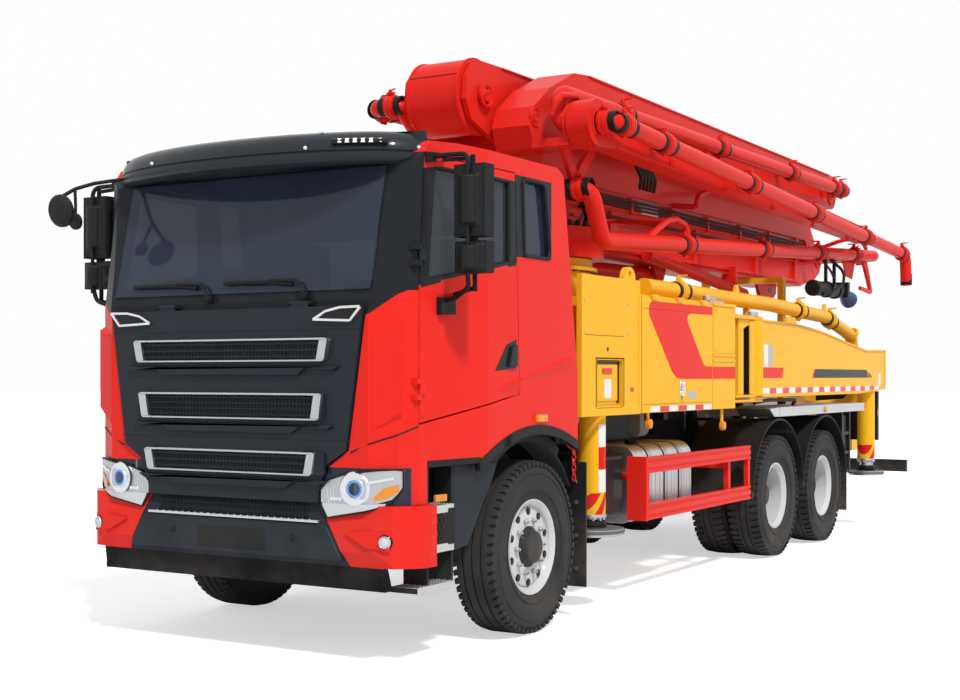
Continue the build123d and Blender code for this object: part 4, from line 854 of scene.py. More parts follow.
def side_at(x):
    """Half width of the cab's tapered side."""
    return HALF_WIDTH - max(0.0, x - TAPER_X) * (HALF_WIDTH - DOOR_EDGE_Y) / (DOOR_FRONT - TAPER_X)


def glass_x(z):
    """Front of the leaning windscreen at a height."""
    return 1.420 - (z - 2.095) * 0.158 / 0.695


def honeycomb(wide, high, cell, depth):
    """Open six-sided cells on a grid, standing along +Z."""
    net = Repeats("honeycomb")
    net.size("Width", wide)
    net.size("Height", high)
    net.size("Cell", cell)
    grid = net.node("GeometryNodeMeshGrid", Size_X=net.input("Width"), Size_Y=net.input("Height"),
                    Vertices_X=int(wide / (cell * 2.0)), Vertices_Y=max(2, int(high / (cell * 1.9))))
    wall = net.node("GeometryNodeMeshCylinder", {"fill_type": "NONE"}, Vertices=6, Radius=net.input("Cell"),
                    Depth=depth)
    copies = net.node("GeometryNodeInstanceOnPoints", Points=grid.outputs[0], Instance=wall.outputs[0])
    return net.grown(copies.outputs[0])


def front_plan(y):
    """Plan of the cab's front face: how far ahead it stands at a distance from the middle."""
    y = abs(y)
    stations = ((0.0, 1.452), (0.95, 1.450), (1.00, 1.440), (1.112, 1.372), (1.172, 1.296), (1.25, 1.17))
    for (y0, x0), (y1, x1) in zip(stations, stations[1:]):
        if y <= y1:
            return x0 + (x1 - x0) * (y - y0) / (y1 - y0)
    return stations[-1][1]


def bumper_plan(y):
    """The same for the bumper, whose ends turn back later."""
    y = abs(y)
    return 1.452 if y < 1.0 else 1.452 - (y - 1.0) * 0.241 if y < 1.112 else 1.425 - (y - 1.112) * 0.958


def across_front(shape, stations, side, inner, outer):
    """A skin that follows the front's plan, from (y, low z, high z) stations."""
    for (y0, a0, b0), (y1, a1, b1) in zip(stations, stations[1:]):
        ring = ((y0, a0), (y1, a1), (y1, b1), (y0, b0))
        shape.hull([at(front_plan(y) + inner, side * y, z) for y, z in ring],
                   [at(front_plan(y) + outer, side * y, z) for y, z in ring])
    return shape


VISOR_END = ((0.0, 1.565), (0.25, 1.556), (0.45, 1.530), (0.65, 1.485), (0.82, 1.430), (0.95, 1.365),
             (1.04, 1.295), (1.11, 1.215), (1.155, 1.140))


def visor_section(y, x, lean):
    """Ring of the visor's section at one place of its plan."""
    side = 1 if y >= 0 else -1
    out = Vector((math.cos(lean), side * math.sin(lean), 0.0))
    ring = []
    for reach, z in ((-0.105, 2.984), (-0.055, 2.962), (-0.022, 2.925), (-0.008, 2.885), (-0.006, 2.870),
                     (-0.014, 2.866), (-0.014, 2.860), (-0.002, 2.856), (0.0, 2.838), (-0.010, 2.812),
                     (-0.035, 2.799), (-0.075, 2.797)):
        ring.append(at(x, y, z) + out * reach)
    inner = min(1.252, x - 0.01)
    back = min(1.153, x - 0.008)
    ring.append(at(inner, y * 0.995, 2.803))
    ring.append(at(back, y * 0.995, 2.928))
    ring.append(at(back, y * 0.99, 2.988))
    return ring


def cab_paint():
    """Red paint of the cab, with the dark frames round its windows."""
    net = Net("cab_shell_paint")
    red = tuple(bpy.context.scene.pump_paint.red)
    x, y, z = net.xyz()[1:]
    x = x - AXLE_X
    across = y.absolute()
    front = (x > 1.16) * (z > 2.085) * (z < 2.86)
    sill = 2.335 + (0.30 - x) * 0.02
    quarter = (across > 1.17) * (x > -0.165) * (x < 0.33) * (z > sill) * (z < 2.835)
    cowl = (x > 1.2) * (z > 1.94 + (across - 0.945).at_least(0.0) * 0.75) * (z < 2.095)
    corner = (x > 1.2) * (z < 1.10) * (across < 0.72)
    dark = (front + quarter + cowl + corner).at_most(1.0)
    broad = net.noise(0.8, 4.0)
    fine = net.noise(60.0, 3.0)
    shade = net.mix(broad, rgba(red, 0.93), rgba(red, 1.06))
    shade = net.mix(dark, shade, (0.016, 0.018, 0.022, 1.0))
    dirt = road_dust(net, 1.3) * 0.2
    shade = net.mix(dirt, shade, MUD)
    return lacquered(net, shade, 0.22 + fine * 0.06 + dirt * 0.5, 0.07)


def yellow_shaded_below():
    """Yellow frames whose low cross members are black: the black chassis there, and painted shade under the body.
    """
    net = Net("yellow_paint_shaded_below")
    yellow = tuple(bpy.context.scene.pump_paint.yellow)
    z = net.xyz()[3]
    shade = net.mix(net.noise(0.8, 4.0), rgba(yellow, 0.93), rgba(yellow, 1.05))
    # Black below z 1.338: the black chassis there, and painted shade under the body.
    shade = net.mix(z < 1.338, shade, (0.012, 0.012, 0.013, 1.0))
    return lacquered(net, shade, 0.34, 0.06)


def door_paint():
    """Red door skin, black above the sill and black mirrors."""
    net = Net("door_paint")
    red = tuple(bpy.context.scene.pump_paint.red)
    x, y, z = net.xyz()[1:]
    x = x - AXLE_X
    across = y.absolute()
    sill = 2.115 + (1.25 - x) * 0.19
    top = 2.792 - (x > 1.05) * (x - 1.05) * 0.15
    band = (z > sill) * (z < top)
    mirror = across > (HALF_WIDTH + 0.012)
    dark = (band + mirror).at_most(1.0)
    broad = net.noise(0.8, 4.0)
    fine = net.noise(60.0, 3.0)
    shade = net.mix(broad, rgba(red, 0.93), rgba(red, 1.06))
    shade = net.mix(dark, shade, (0.018, 0.019, 0.021, 1.0))
    return lacquered(net, shade, 0.30 + fine * 0.06 + mirror * 0.2, 0.07 - mirror * 0.06)


def bumper_paint():
    """Red bumper ends, dark middle and black valance."""
    net = Net("bumper_paint")
    red = tuple(bpy.context.scene.pump_paint.red)
    y, z = net.xyz()[2:]
    across = y.absolute()
    middle = across < (0.624 + (0.93 - z) * 0.553)
    low = z < 0.556
    dark = (middle + low).at_most(1.0)
    fine = net.noise(60.0, 3.0)
    shade = net.mix(net.noise(0.8, 4.0), rgba(red, 0.93), rgba(red, 1.06))
    shade = net.mix(dark, shade, (0.022, 0.027, 0.035, 1.0))
    shade = net.mix(low, shade, (0.006, 0.006, 0.007, 1.0))
    dirt = road_dust(net, 1.0) * 0.2
    shade = net.mix(dirt, shade, MUD)
    return lacquered(net, shade, 0.24 + fine * 0.06 + dark * 0.2, 0.07 - dark * 0.06)


class PUMP_OT_cab_skin(bpy.types.Operator):
    """Paint of the cab and doors, window glass and rubber"""
    bl_idname = "pump.cab_skin"
    bl_label = "Cab skin"

    def execute(self, context):
        dress(cab_paint(), "cab_shell")
        dress(bumper_paint(), "front_bumper")
        dress(yellow_shaded_below(), "outrigger_frames", "pedestal", "cabinets")
        dress(door_paint(), "door_left", "door_right")
        window = [(1.172, 2.143), (1.114, 2.787), (0.363, 2.787), (0.363, 2.293)]
        for name, side in SIDES:
            Shape().on_side(window, side, -0.030, -0.024).piece(
                f"door_glass_{name}", f"door_{name}", "side_glass")
            rubber_line = Shape()
            lines = ((window[0], window[1]), (window[1], window[2]), (window[2], window[3]),
                     (window[3], window[0]))
            for (x0, z0), (x1, z1) in lines:
                rubber_line.rod(at(x0, side * (side_at(x0) - 0.012), z0),
                                at(x1, side * (side_at(x1) - 0.012), z1), 0.013, 8)
            rubber_line.piece(f"window_rubber_{name}", f"door_{name}", "trim_black")
            Shape().on_side([(1.235, 2.105), (1.235, 2.138), (0.30, 2.312), (0.30, 2.282)], side, -0.01,
                            0.007).piece(f"window_ledge_{name}", f"door_{name}", "trim_black", 0.003)
            Shape().on_side([(0.285, 1.835), (0.410, 1.800), (0.545, 1.640), (0.290, 1.660)], side, -0.004,
                            0.003).piece(f"handle_recess_{name}", f"door_{name}", "black_marks_and_shade", 0.004)
            Shape().on_side([(0.30, 1.80), (0.36, 1.785), (0.40, 1.665), (0.30, 1.670)], side, 0.0, 0.022).piece(
                f"door_handle_{name}", f"door_{name}", "trim_grey", 0.006)
            self.creases(name, side)
            self.mirrors(name, side)
            self.arch(name, side)
            quarter = Shape()
            ring = [(0.185, 2.350), (0.210, 2.785), (0.195, 2.818), (-0.045, 2.818), (-0.073, 2.790),
                    (-0.142, 2.400), (-0.120, 2.350)]
            for start, end in zip(ring, ring[1:] + ring[:1]):
                quarter.rod(at(start[0], side * (HALF_WIDTH + 0.001), start[1]),
                            at(end[0], side * (HALF_WIDTH + 0.001), end[1]), 0.012, 8)
            quarter.piece(f"quarter_rubber_{name}", "cab", "trim_black")
        return {"FINISHED"}

    def creases(self, name, side):
        """Pressed ridges along the door and cab side, and the upright fin on the cab's corner."""
        for body, x0, x1 in ((f"door_{name}", 1.235, 0.262), ("cab", 0.225, -0.425)):
            ridge = Shape()
            z0, z1 = (1.395 + (1.25 - x) * 0.205 for x in (x0, x1))
            foot = (x0, z0, -0.004), (x1, z1, -0.004), (x1, z1 - 0.10, -0.004), (x0, z0 - 0.03, -0.004)
            crest = (x0, z0 - 0.008, 0.009), (x1, z1 - 0.012, 0.026), (x1, z1 - 0.10, 0.0), (x0, z0 - 0.03,
                                                                                             0.0)
            ridge.hull(*([at(x, side * (side_at(x) + out), z) for x, z, out in ring]
                         for ring in (foot, crest)))
            ridge.piece(f"crease_{body}_{name}", body, "cab_red", 0.003)
        fin = Shape()
        low = [(1.428, 0.975, 1.30), (1.345, 1.118, 1.37), (1.345, 1.118, 1.925), (1.428, 0.975, 1.86)]
        high = [(1.434, 0.978, 1.31), (1.372, 1.142, 1.42), (1.372, 1.142, 1.900), (1.434, 0.978, 1.85)]
        fin.hull([at(x, side * y, z) for x, y, z in low], [at(x, side * y, z) for x, y, z in high])
        fin.piece(f"corner_fin_{name}", "cab", "cab_red", 0.008, segments=3)
        seam = Shape()
        for start, end in (((1.452, 0.855, 1.190), (1.442, 0.955, 1.235)),
                           ((1.442, 0.955, 1.235), (1.362, 1.109, 1.290)),
                           ((1.362, 1.109, 1.290), (1.256, 1.172, 1.335))):
            seam.rod(at(start[0], side * start[1], start[2]), at(end[0], side * end[1], end[2]), 0.005, 6)
        seam.piece(f"corner_seam_{name}", "cab", "black_marks_and_shade")
        liner = Shape()
        liner.on_side([(0.895, 1.102), (0.895, 0.610), (0.756, 0.631), (0.620, 0.850), (0.500, 1.00),
                       (0.445, 1.097)], side, -0.065, -0.040)
        wall = (0.895, 1.10), (0.895, 0.61), (0.87, 0.61), (0.87, 1.10)
        liner.hull([at(x, side * 0.98, z) for x, z in wall],
                   [at(x, side * (side_at(x) - 0.045), z) for x, z in wall])
        liner.piece(f"wheel_liner_{name}", "cab", "trim_grey", 0.006)
        arch = Shape()
        ring = [math.radians(48 + 6 * i) for i in range(18)]
        for a, b in zip(ring, ring[1:]):
            bands = [(0.665, 0.678, 0.80)]
            if b < math.radians(131):
                bands.append((0.676, 0.735, 1.140))
            for inner, outer, y0 in bands:
                corners = (inner, a), (outer, a), (outer, b), (inner, b)
                arch.hull(*([at(r * math.cos(t), side * y, ARCH_Z + r * math.sin(t)) for r, t in corners]
                            for y in (y0, 1.160)))
        arch.piece(f"arch_liner_{name}", "cab", "trim_black")
        mesh = Shape()
        mesh.on_side([(1.145, 0.860), (1.145, 0.655), (0.905, 0.655), (0.905, 0.860)], side, -0.028, -0.022)
        bosses = row_of_heads(6, (-0.040, 0, 0), 0.012, 0.008, 8, (math.radians(90), 0, 0))
        for i in range(5):
            mesh.add_mesh(bosses, at(1.135 - 0.02 * (i % 2), side * (side_at(1.02) - 0.022),
                                                        0.690 + 0.036 * i))
        mesh.piece(f"step_mesh_{name}", "cab", "trim_black")

    def mirrors(self, name, side):
        """Mirror housings with bulged backs, arms and glass."""
        body = f"door_{name}"
        shells = Shape()
        for z0, z1 in ((2.377, 2.783), (2.177, 2.358)):
            shells.box(1.036, 1.144, side * 1.326, side * 1.5298, z0, z1)
        shells.piece(f"mirror_shells_{name}", body, "trim_black", 0.034, segments=5)
        bulges = Shape()
        for z0, z1 in ((2.455, 2.705), (2.205, 2.320)):
            bulges.hull([at(1.138, side * y, z) for y, z in ((1.352, z0 - 0.035), (1.508, z0 - 0.035),
                                                             (1.508, z1 + 0.035), (1.352, z1 + 0.035))],
                        [at(1.160, side * y, z)
                         for y, z in ((1.380, z0), (1.480, z0), (1.480, z1), (1.380, z1))])
            bulges.rod(at(1.135, side * 1.43, z0 - 0.010), at(1.135, side * 1.43, z1 + 0.010), 0.056, 28)
        bulges.piece(f"mirror_bulges_{name}", body, "trim_black", 0.016, segments=3)
        arms = Shape()
        arms.pipe([at(1.16, side * 1.175, 2.835), at(1.13, side * 1.30, 2.842), at(1.15, side * 1.43, 2.835),
                   at(1.158, side * 1.43, 2.74)], 0.014, 0.05, 12)
        arms.pipe([at(1.05, side * 1.19, 2.03), at(1.07, side * 1.30, 2.05), at(1.13, side * 1.42, 2.10),
                   at(1.158, side * 1.43, 2.20)], 0.014, 0.05, 12)
        arms.rod(at(1.158, side * 1.43, 2.15), at(1.158, side * 1.43, 2.80), 0.012, 12)
        arms.on_side([(1.20, 2.800), (1.20, 2.855), (1.06, 2.862), (1.06, 2.815)], side, -0.004, 0.040)
        arms.on_side([(1.10, 1.955), (1.10, 2.055), (0.97, 2.060), (0.97, 1.960)], side, -0.004, 0.035)
        arms.piece(f"mirror_arms_{name}", body, "hose_black", 0.003)
        faces = Shape()
        for z0, z1 in ((2.40, 2.76), (2.195, 2.34)):
            faces.box(1.033, 1.0365, side * 1.345, side * 1.512, z0, z1)
        faces.piece(f"mirror_faces_{name}", body, "chrome", slot="dark_glass")

    def arch(self, name, side):
        """The wheel arch's lip and the side marker."""
        lip = Shape()
        places = [0.71 - 0.0620 * i for i in range(21)]
        for x0, x1 in zip(places, places[1:]):
            edge = [(x, 1.308 - 0.40 * (x - 0.02) ** 2) for x in (x0, x1)]
            lip.on_side([edge[0], edge[1], (x1, edge[1][1] - 0.062), (x0, edge[0][1] - 0.062)], side, -0.03,
                        0.008)
        lip.on_side([(0.66, 1.105), (1.18, 1.102), (1.18, 1.140), (0.70, 1.140)], side, -0.03, 0.006)
        lip.piece(f"arch_lip_{name}", "cab", "trim_black", 0.003)
        Shape().on_side([(-0.08, 1.325), (-0.08, 1.372), (0.05, 1.372), (0.05, 1.325)], side, -0.002, 0.022).piece(
            f"side_marker_{name}", "cab", "lamp_amber", 0.006)


class PUMP_OT_front(bpy.types.Operator):
    """Grille lid, headlamps, bumper, wipers and visor lamps"""
    bl_idname = "pump.front"
    bl_label = "Cab front"

    def execute(self, context):
        self.lid()
        for name, side in SIDES:
            self.headlamp(name, side)
            self.fog_lamp(name, side)
        self.bumper()
        self.visor()
        return {"FINISHED"}

    def lid(self):
        """Grille frames, honeycomb and lips, the lid's seams and the air trims."""
        bars = Shape()
        lips = Shape()
        backs = Shape()
        cells = Shape()
        for z0, z1, half in GRILLE_BARS:
            face = LID_FACE + 0.034
            bars.box(LID_FACE - 0.002, face, -half + 0.02, half - 0.02, z1 - 0.006, z1 + 0.006)
            bars.box(LID_FACE - 0.002, face, -half + 0.05, half - 0.05, z0 - 0.006, z0 + 0.004)
            for side in (-1, 1):
                end = (-0.075, z0 + 0.004), (-0.052, z1 - 0.006), (0.0, z1 - 0.006), (-0.020, z0 + 0.004)
                top = (-0.10, z1 - 0.006), (-0.10, z1 + 0.006), (-0.012, z1 + 0.006), (0.0, z1 - 0.006)
                foot = (-0.10, z0 - 0.006), (-0.10, z0 + 0.004), (-0.020, z0 + 0.004), (-0.035, z0 - 0.006)
                for points in (end, top, foot):
                    bars.hull([at(LID_FACE - 0.002, side * (half + y), z) for y, z in points],
                              [at(face + 0.004, side * (half + y), z) for y, z in points])
            backs.box(LID_FACE + 0.010, LID_FACE + 0.014, -half + 0.03, half - 0.03, z0, z1)
            mesh = honeycomb(2 * half - 0.16, z1 - z0 - 0.012, 0.0125, 0.012)
            cells.add_mesh(mesh, facing(AHEAD, at(LID_FACE + 0.016, 0, (z0 + z1) / 2)))
            wide = half + 0.075
            lips.slab_x([(-wide, z0 - 0.030), (wide, z0 - 0.030), (wide - 0.055, z0 - 0.060),
                         (wide - 0.24, z0 - 0.045), (wide - 0.30, z0 - 0.085), (-wide + 0.30, z0 - 0.085),
                         (-wide + 0.24, z0 - 0.045), (-wide + 0.055, z0 - 0.060)], LID_FACE - 0.002,
                        LID_FACE + 0.022)
        bars.piece("grille_frames", "front_lid", "satin_steel", 0.003)
        backs.piece("grille_backs", "front_lid", "black_marks_and_shade")
        cells.piece("grille_cells", "front_lid", "grille_dark")
        lips.piece("grille_lips", "front_lid", "trim_grey", 0.010, segments=3)
        seam = Shape()
        seam.box(LID_FACE - 0.003, LID_FACE + 0.0012, -0.925, 0.925, 1.868, 1.875)
        seam.box(LID_FACE - 0.003, LID_FACE + 0.0012, -0.855, 0.855, 1.250, 1.256)
        seam.piece("lid_seam", "front_lid", "black_marks_and_shade")
        for name, side in SIDES:
            corners = [(0.615, 1.928), (0.70, 1.972), (0.80, 1.992), (0.937, 1.994), (0.868, 1.918)]
            Shape().slab_x([(side * y, z) for y, z in corners], LID_FACE - 0.002, LID_FACE + 0.010).piece(
                f"air_trim_dark_{name}", "front_lid", "black_marks_and_shade")
            rim = Shape()
            for (y0, z0), (y1, z1) in zip(corners, corners[1:] + corners[:1]):
                rim.rod(at(LID_FACE + 0.010, side * y0, z0), at(LID_FACE + 0.010, side * y1, z1), 0.009, 8)
            rim.piece(f"air_trim_{name}", "front_lid", "chrome")

    def headlamp(self, name, side):
        """Bowl, rings, lens, amber lamp and rim of one headlamp."""
        outline = [(0.652, 0.905, 0.985), (0.70, 0.905, 1.035), (0.80, 0.905, 1.066), (0.95, 0.908, 1.088),
                   (1.02, 0.914, 1.096), (1.085, 0.935, 1.100), (1.112, 0.965, 1.100), (1.136, 1.00, 1.095)]
        bowl = across_front(Shape(), outline, side, -0.004, 0.004)
        bowl.piece(f"lamp_bowl_{name}", "cab", "satin_steel")
        below = across_front(Shape(), [(0.665, 0.872, 0.905), (0.70, 0.826, 0.905), (0.80, 0.842, 0.905),
                                       (0.95, 0.868, 0.908), (1.06, 0.898, 0.914)], side, 0.004, 0.010)
        below.piece(f"lamp_foot_{name}", "cab", "bright_aluminium", slot="steel")
        lines = Shape()
        for y in (0.715, 0.735, 0.755):
            lines.rod(at(front_plan(y) + 0.005, side * y, 0.850),
                      at(front_plan(y) + 0.005, side * (y - 0.02), 0.985), 0.004, 6)
        across_front(lines, [(0.72, 0.925, 0.940), (0.80, 0.925, 0.940)], side, 0.003, 0.012)
        across_front(lines, [(0.975, 1.020, 1.034), (1.03, 1.030, 1.044), (1.10, 1.045, 1.060)], side, 0.003,
                     0.012)
        lines.piece(f"lamp_ribs_{name}", "cab", "chrome")
        aim = Vector((0.99, side * 0.12, 0)).normalized()
        centre = at(front_plan(0.885) + 0.003, side * 0.885, 0.990)
        Shape().lathe(centre, aim, [(0.0, 0.094), (0.006, 0.096), (0.011, 0.090), (0.006, 0.070),
                                    (0.004, 0.060), (0.010, 0.056), (0.010, 0.050), (0.0, 0.048)], 48,
                      ring=True).piece(f"lamp_ring_{name}", "cab", "chrome")
        Shape().lathe(centre, aim, [(0.003, 0.046), (0.011, 0.045), (0.011, 0.037), (0.003, 0.036)], 40,
                      ring=True).piece(f"lamp_glow_{name}", "cab", "lamp_blue")
        Shape().lathe(centre, aim, [(0.0, 0.037), (0.010, 0.035), (0.020, 0.022), (0.023, 0.0)], 32).piece(
            f"lamp_lens_{name}", "cab", "side_glass")
        amber = across_front(Shape(), [(1.005, 0.930, 0.948), (1.05, 0.936, 0.995), (1.10, 0.962, 1.012),
                                       (1.118, 0.978, 1.016)], side, 0.004, 0.009)
        amber.piece(f"lamp_amber_{name}", "cab", "lamp_amber")
        rim = Shape()
        border = [(y, high) for y, low, high in outline] + [(1.136, 1.0), (1.10, 0.930), (1.06, 0.898),
                                                            (0.95, 0.868), (0.80, 0.842), (0.70, 0.824),
                                                            (0.652, 0.905)]
        rim.pipe([at(front_plan(y) + 0.007, side * y, z) for y, z in border], 0.006, 0.01, 8, 2)
        rim.piece(f"lamp_rim_{name}", "cab", "trim_black")

    def fog_lamp(self, name, side):
        """Fog lamp, painted shade in its recess, and the bumper's scoop round it."""
        aim = Vector((0.97, side * 0.23, 0)).normalized()
        centre = at(bumper_plan(1.075) + 0.002, side * 1.075, 0.706)
        # The black disc behind the lamp is painted shade in its recess.
        Shape().lathe(centre, aim, [(-0.03, 0.042), (0.008, 0.042), (0.012, 0.037), (0.012, 0.0)], 32).piece(
            f"fog_recess_shade_{name}", "cab", "black_marks_and_shade")
        Shape().lathe(centre, aim,
                      [(0.008, 0.027), (0.017, 0.028), (0.021, 0.032), (0.014, 0.036), (0.008, 0.035)], 32,
                      ring=True).piece(f"fog_ring_{name}", "cab", "chrome")
        Shape().lathe(centre, aim, [(0.006, 0.027), (0.016, 0.026), (0.020, 0.014), (0.021, 0.0)], 32).piece(
            f"fog_glass_{name}", "cab", "lamp_clear")
        scoop = Shape()
        low = [at(bumper_plan(y) + 0.002, side * y, z)
               for y, z in ((0.82, 0.745), (0.96, 0.672), (1.105, 0.655), (1.105, 0.770), (0.96, 0.765))]
        high = [p + Vector((0.012, 0, 0)) for p in low]
        high[2] += Vector((0.006, 0, 0))
        high[3] -= Vector((0.006, 0, 0))
        scoop.hull(low, high)
        scoop.piece(f"fog_scoop_{name}", "cab", "cab_red", 0.006)

    def bumper(self):
        """Middle panel, blank plate, sensors, lower mesh and step."""
        Shape().slab_x([(-0.80, 0.585), (0.80, 0.585), (0.70, 0.765), (0.66, 0.790), (-0.66, 0.790),
                        (-0.70, 0.765)], 1.430, 1.462).piece(
            "bumper_middle", "cab", "trim_grey", 0.012, segments=3)
        Shape().box(1.460, 1.4665, -0.25, 0.25, 0.615, 0.735).piece(
            "blank_number_plate", "cab", "trim_black", 0.004)
        dots = Shape()
        for y in (-0.45, 0.45):
            dots.lathe(at(1.460, y, 0.70), AHEAD, [(0, 0.022), (0.006, 0.020), (0.008, 0.012), (0.008, 0.0)],
                       20)
        dots.piece("bumper_sensors", "cab", "black_marks_and_shade")
        Shape().add_mesh(honeycomb(1.10, 0.072, 0.0125, 0.006), facing(AHEAD, at(1.453, 0, 0.852))).piece(
            "bumper_cells", "cab", "grille_dark")
        tread = Shape()
        tread.box(1.430, 1.470, -0.64, 0.64, 0.792, 0.806)
        rivets = row_of_heads(24, (0.0, 0.05, 0.0), 0.006, 0.006, 8)
        tread.add_mesh(rivets, at(1.458, -0.575, 0.807))
        tread.piece("bumper_step", "cab", "bright_aluminium", 0.002)

    def visor(self):
        """Rounded visor, forward mirrors, visor lamps and wipers."""
        plan = [(-y, x) for y, x in reversed(VISOR_END)] + list(VISOR_END[1:])
        fine = []
        for (y0, x0), (y1, x1) in zip(plan, plan[1:]):
            for i in range(4):
                fine.append((y0 + (y1 - y0) * i / 4, x0 + (x1 - x0) * i / 4))
        fine.append(plan[-1])
        soft = [fine[0]] + [((a[0] + 2 * b[0] + c[0]) / 4, (a[1] + 2 * b[1] + c[1]) / 4)
                            for a, b, c in zip(fine, fine[1:], fine[2:])] + [fine[-1]]
        rings = []
        for i, (y, x) in enumerate(soft):
            before, after = soft[max(i - 2, 0)], soft[min(i + 2, len(soft) - 1)]
            lean = math.atan2(abs(before[1] - after[1]), max(1e-6, abs(after[0] - before[0])))
            rings.append(visor_section(y, x, lean))
        Shape().hull(*rings).piece("visor_shell", "cab", "visor_grey", smooth=50, replaces=("roof_visor",))
        mirror = Shape()
        mirror.pipe([at(1.29, -0.96, 2.85), at(1.50, -1.06, 2.80), at(1.62, -1.10, 2.755),
                     at(1.755, -1.072, 2.69)], 0.012, 0.1, 12)
        mirror.lathe(at(1.735, -1.075, 2.610), (0.98, 0, -0.17),
                     [(0.0, 0.090), (0.010, 0.100), (0.030, 0.098), (0.050, 0.075), (0.056, 0.0)], 28)
        mirror.lathe(at(1.60, -1.105, 2.560), (0.98, 0, -0.17), [(0.0, 0.050), (0.02, 0.052), (0.032, 0.036),
                     (0.034, 0.0)], 24)
        mirror.pipe([at(1.62, -1.10, 2.755), at(1.61, -1.105, 2.65), at(1.612, -1.105, 2.585)], 0.010, 0.05,
                    10)
        mirror.piece("forward_mirrors", "cab", "trim_black", 0.003)
        lamps = Shape()
        bed = Shape()
        screws = Shape()
        places = []
        for i in range(6):
            y = 0.775 + 0.040 * i
            x = next(a[1] + (b[1] - a[1]) * (y - a[0]) / (b[0] - a[0])
                     for a, b in zip(soft, soft[1:]) if y <= b[0])
            places.append(at(x - 0.002, y, 2.914))
        for place in places:
            lamps.lathe(place, (1, 0.42, 0.32),
                        [(-0.01, 0.0175), (0.012, 0.0175), (0.016, 0.013), (0.017, 0.0)], 4, math.pi / 4)
        bed.pipe([places[0] + Vector((0.018, -0.045, 0)), *places[1:-1],
                  places[-1] + Vector((-0.020, 0.04, 0))], 0.017, 0.02, 8, 2)
        for y, x, z in ((0.578, 1.502, 2.886), (1.128, 1.185, 2.888), (0.62, 1.41, 2.984),
                        (-0.578, 1.502, 2.886)):
            screws.lathe(at(x, y, z), (1, 0.3, 0.2),
                         [(-0.008, 0.010), (0.004, 0.010), (0.007, 0.006), (0.007, 0)], 12)
        bed.piece("visor_lamp_bed", "cab", "black_marks_and_shade")
        lamps.piece("visor_lamps", "cab", "lamp_white")
        screws.piece("visor_screws", "cab", "white_paint")
        wipers = Shape()
        for y0, y1 in ((0.53, 0.02), (-0.18, -0.70)):
            wipers.rod(at(1.425, y0, 2.050), at(1.450, y0, 2.075), 0.022, 12)
            wipers.pipe([at(1.448, y0, 2.070), at(glass_x(2.15) + 0.030, y0 - 0.06, 2.155),
                         at(glass_x(2.16) + 0.028, (y0 + y1) / 2, 2.160)], 0.009, 0.03, 8)
            wipers.pipe([at(glass_x(2.13) + 0.016, y0 - 0.10, 2.135),
                         at(glass_x(2.15) + 0.020, (y0 + y1) / 2, 2.152),
                         at(glass_x(2.15) + 0.016, y1 - 0.10, 2.155)], 0.011, 0.1, 8)
        wipers.piece("wipers", "cab", "hose_black")


class PUMP_OT_steps(bpy.types.Operator):
    """Treadplates, reflectors and hinges low on the cab"""
    bl_idname = "pump.steps"
    bl_label = "Cab steps"

    def execute(self, context):
        outer = side_at(1.15) - 0.004
        for name, side in SIDES:
            plates = Shape()
            for z, x1 in ((0.410, 1.280), (0.630, 1.175), (0.850, 1.175)):
                plates.box(0.902, x1 - 0.002, side * 1.02, side * (outer + 0.002), z + 0.024, z + 0.034)
                plates.box(0.902, x1 - 0.002, side * (outer - 0.002), side * (outer + 0.003), z - 0.012,
                           z + 0.034)
                bumps = row_of_heads(int((x1 - 0.93) / 0.028), (0.028, 0, 0), 0.006, 0.005, 6)
                for y in (1.05, 1.09, 1.13, 1.165):
                    plates.add_mesh(bumps, at(0.92, side * y, z + 0.035))
            plates.piece(f"step_plates_{name}", "cab", "bright_aluminium", 0.002)
            sides = Shape()
            for x in (0.897, 1.153):
                sides.slab_y([(x, 0.395), (x + 0.022, 0.395), (x + 0.022, 1.12), (x, 1.12)], side * 1.05,
                             side * (outer - 0.006))
            sides.piece(f"step_brackets_{name}", "cab", "trim_black", 0.003)
            Shape().on_side([(1.00, 0.905), (1.00, 0.945), (1.10, 0.945), (1.10, 0.905)], side, -0.020,
                            -0.002).piece(f"step_reflector_{name}", "cab", "lamp_amber", 0.004)
        return {"FINISHED"}


# ---------------------------------------------------------------- boom
DELIVERY_LINES = (      # arm, y, two points (x, z) on the pipe, places of its couplings
    ("arm_1", 0.80, (-2.96, 2.69), (-9.15, 3.03), (-3.4, -5.3, -7.0, -8.3)),
    ("arm_2", -0.66, (-1.7, 3.38), (-8.7, 3.38), (-2.6, -4.5, -6.4, -8.2)),
    ("arm_3", -0.92, (-1.28, 3.69), (-8.6, 3.75), (-2.6, -4.5, -6.4, -8.2)),
    ("arm_4", 0.60, (-8.6, 3.75), (-1.5, 3.70), (-2.6, -4.7, -6.7, -8.2)),
    ("arm_5", 1.05, (-1.5, 3.45), (-9.56, 3.06), (-2.4, -4.3, -6.1, -7.9)),
)
ELBOW_COUPLINGS = (     # arm, x, y, z, along
    ("arm_1", -1.60, 0.715, 3.00, ACROSS),
    ("arm_1", -9.15, 0.60, 3.03, ACROSS),
    ("arm_2", -9.15, -0.585, 3.03, ACROSS),
    ("arm_2", -1.28, -0.735, 3.69, ACROSS),
    ("arm_3", -1.42, -0.92, 3.691, AHEAD),
    ("arm_3", -8.60, -0.66, 3.75, ACROSS),
    ("arm_4", -8.45, 0.60, 3.749, AHEAD),
    ("arm_5", -1.50, 0.975, 3.45, ACROSS),
    ("arm_5", -1.66, 1.05, 3.442, (1, 0, 0.05)),
    ("arm_5", -9.40, 1.05, 3.068, (1, 0, 0.05)),
    ("truck", -2.95, 0.93, 2.298, AHEAD),
    ("truck", -5.95, 0.93, 2.256, (1, 0, 0.03)),
    ("truck", -6.95, 0.93, 2.198, (1, 0, 0.18)),
)
PIPE_R = 0.0665


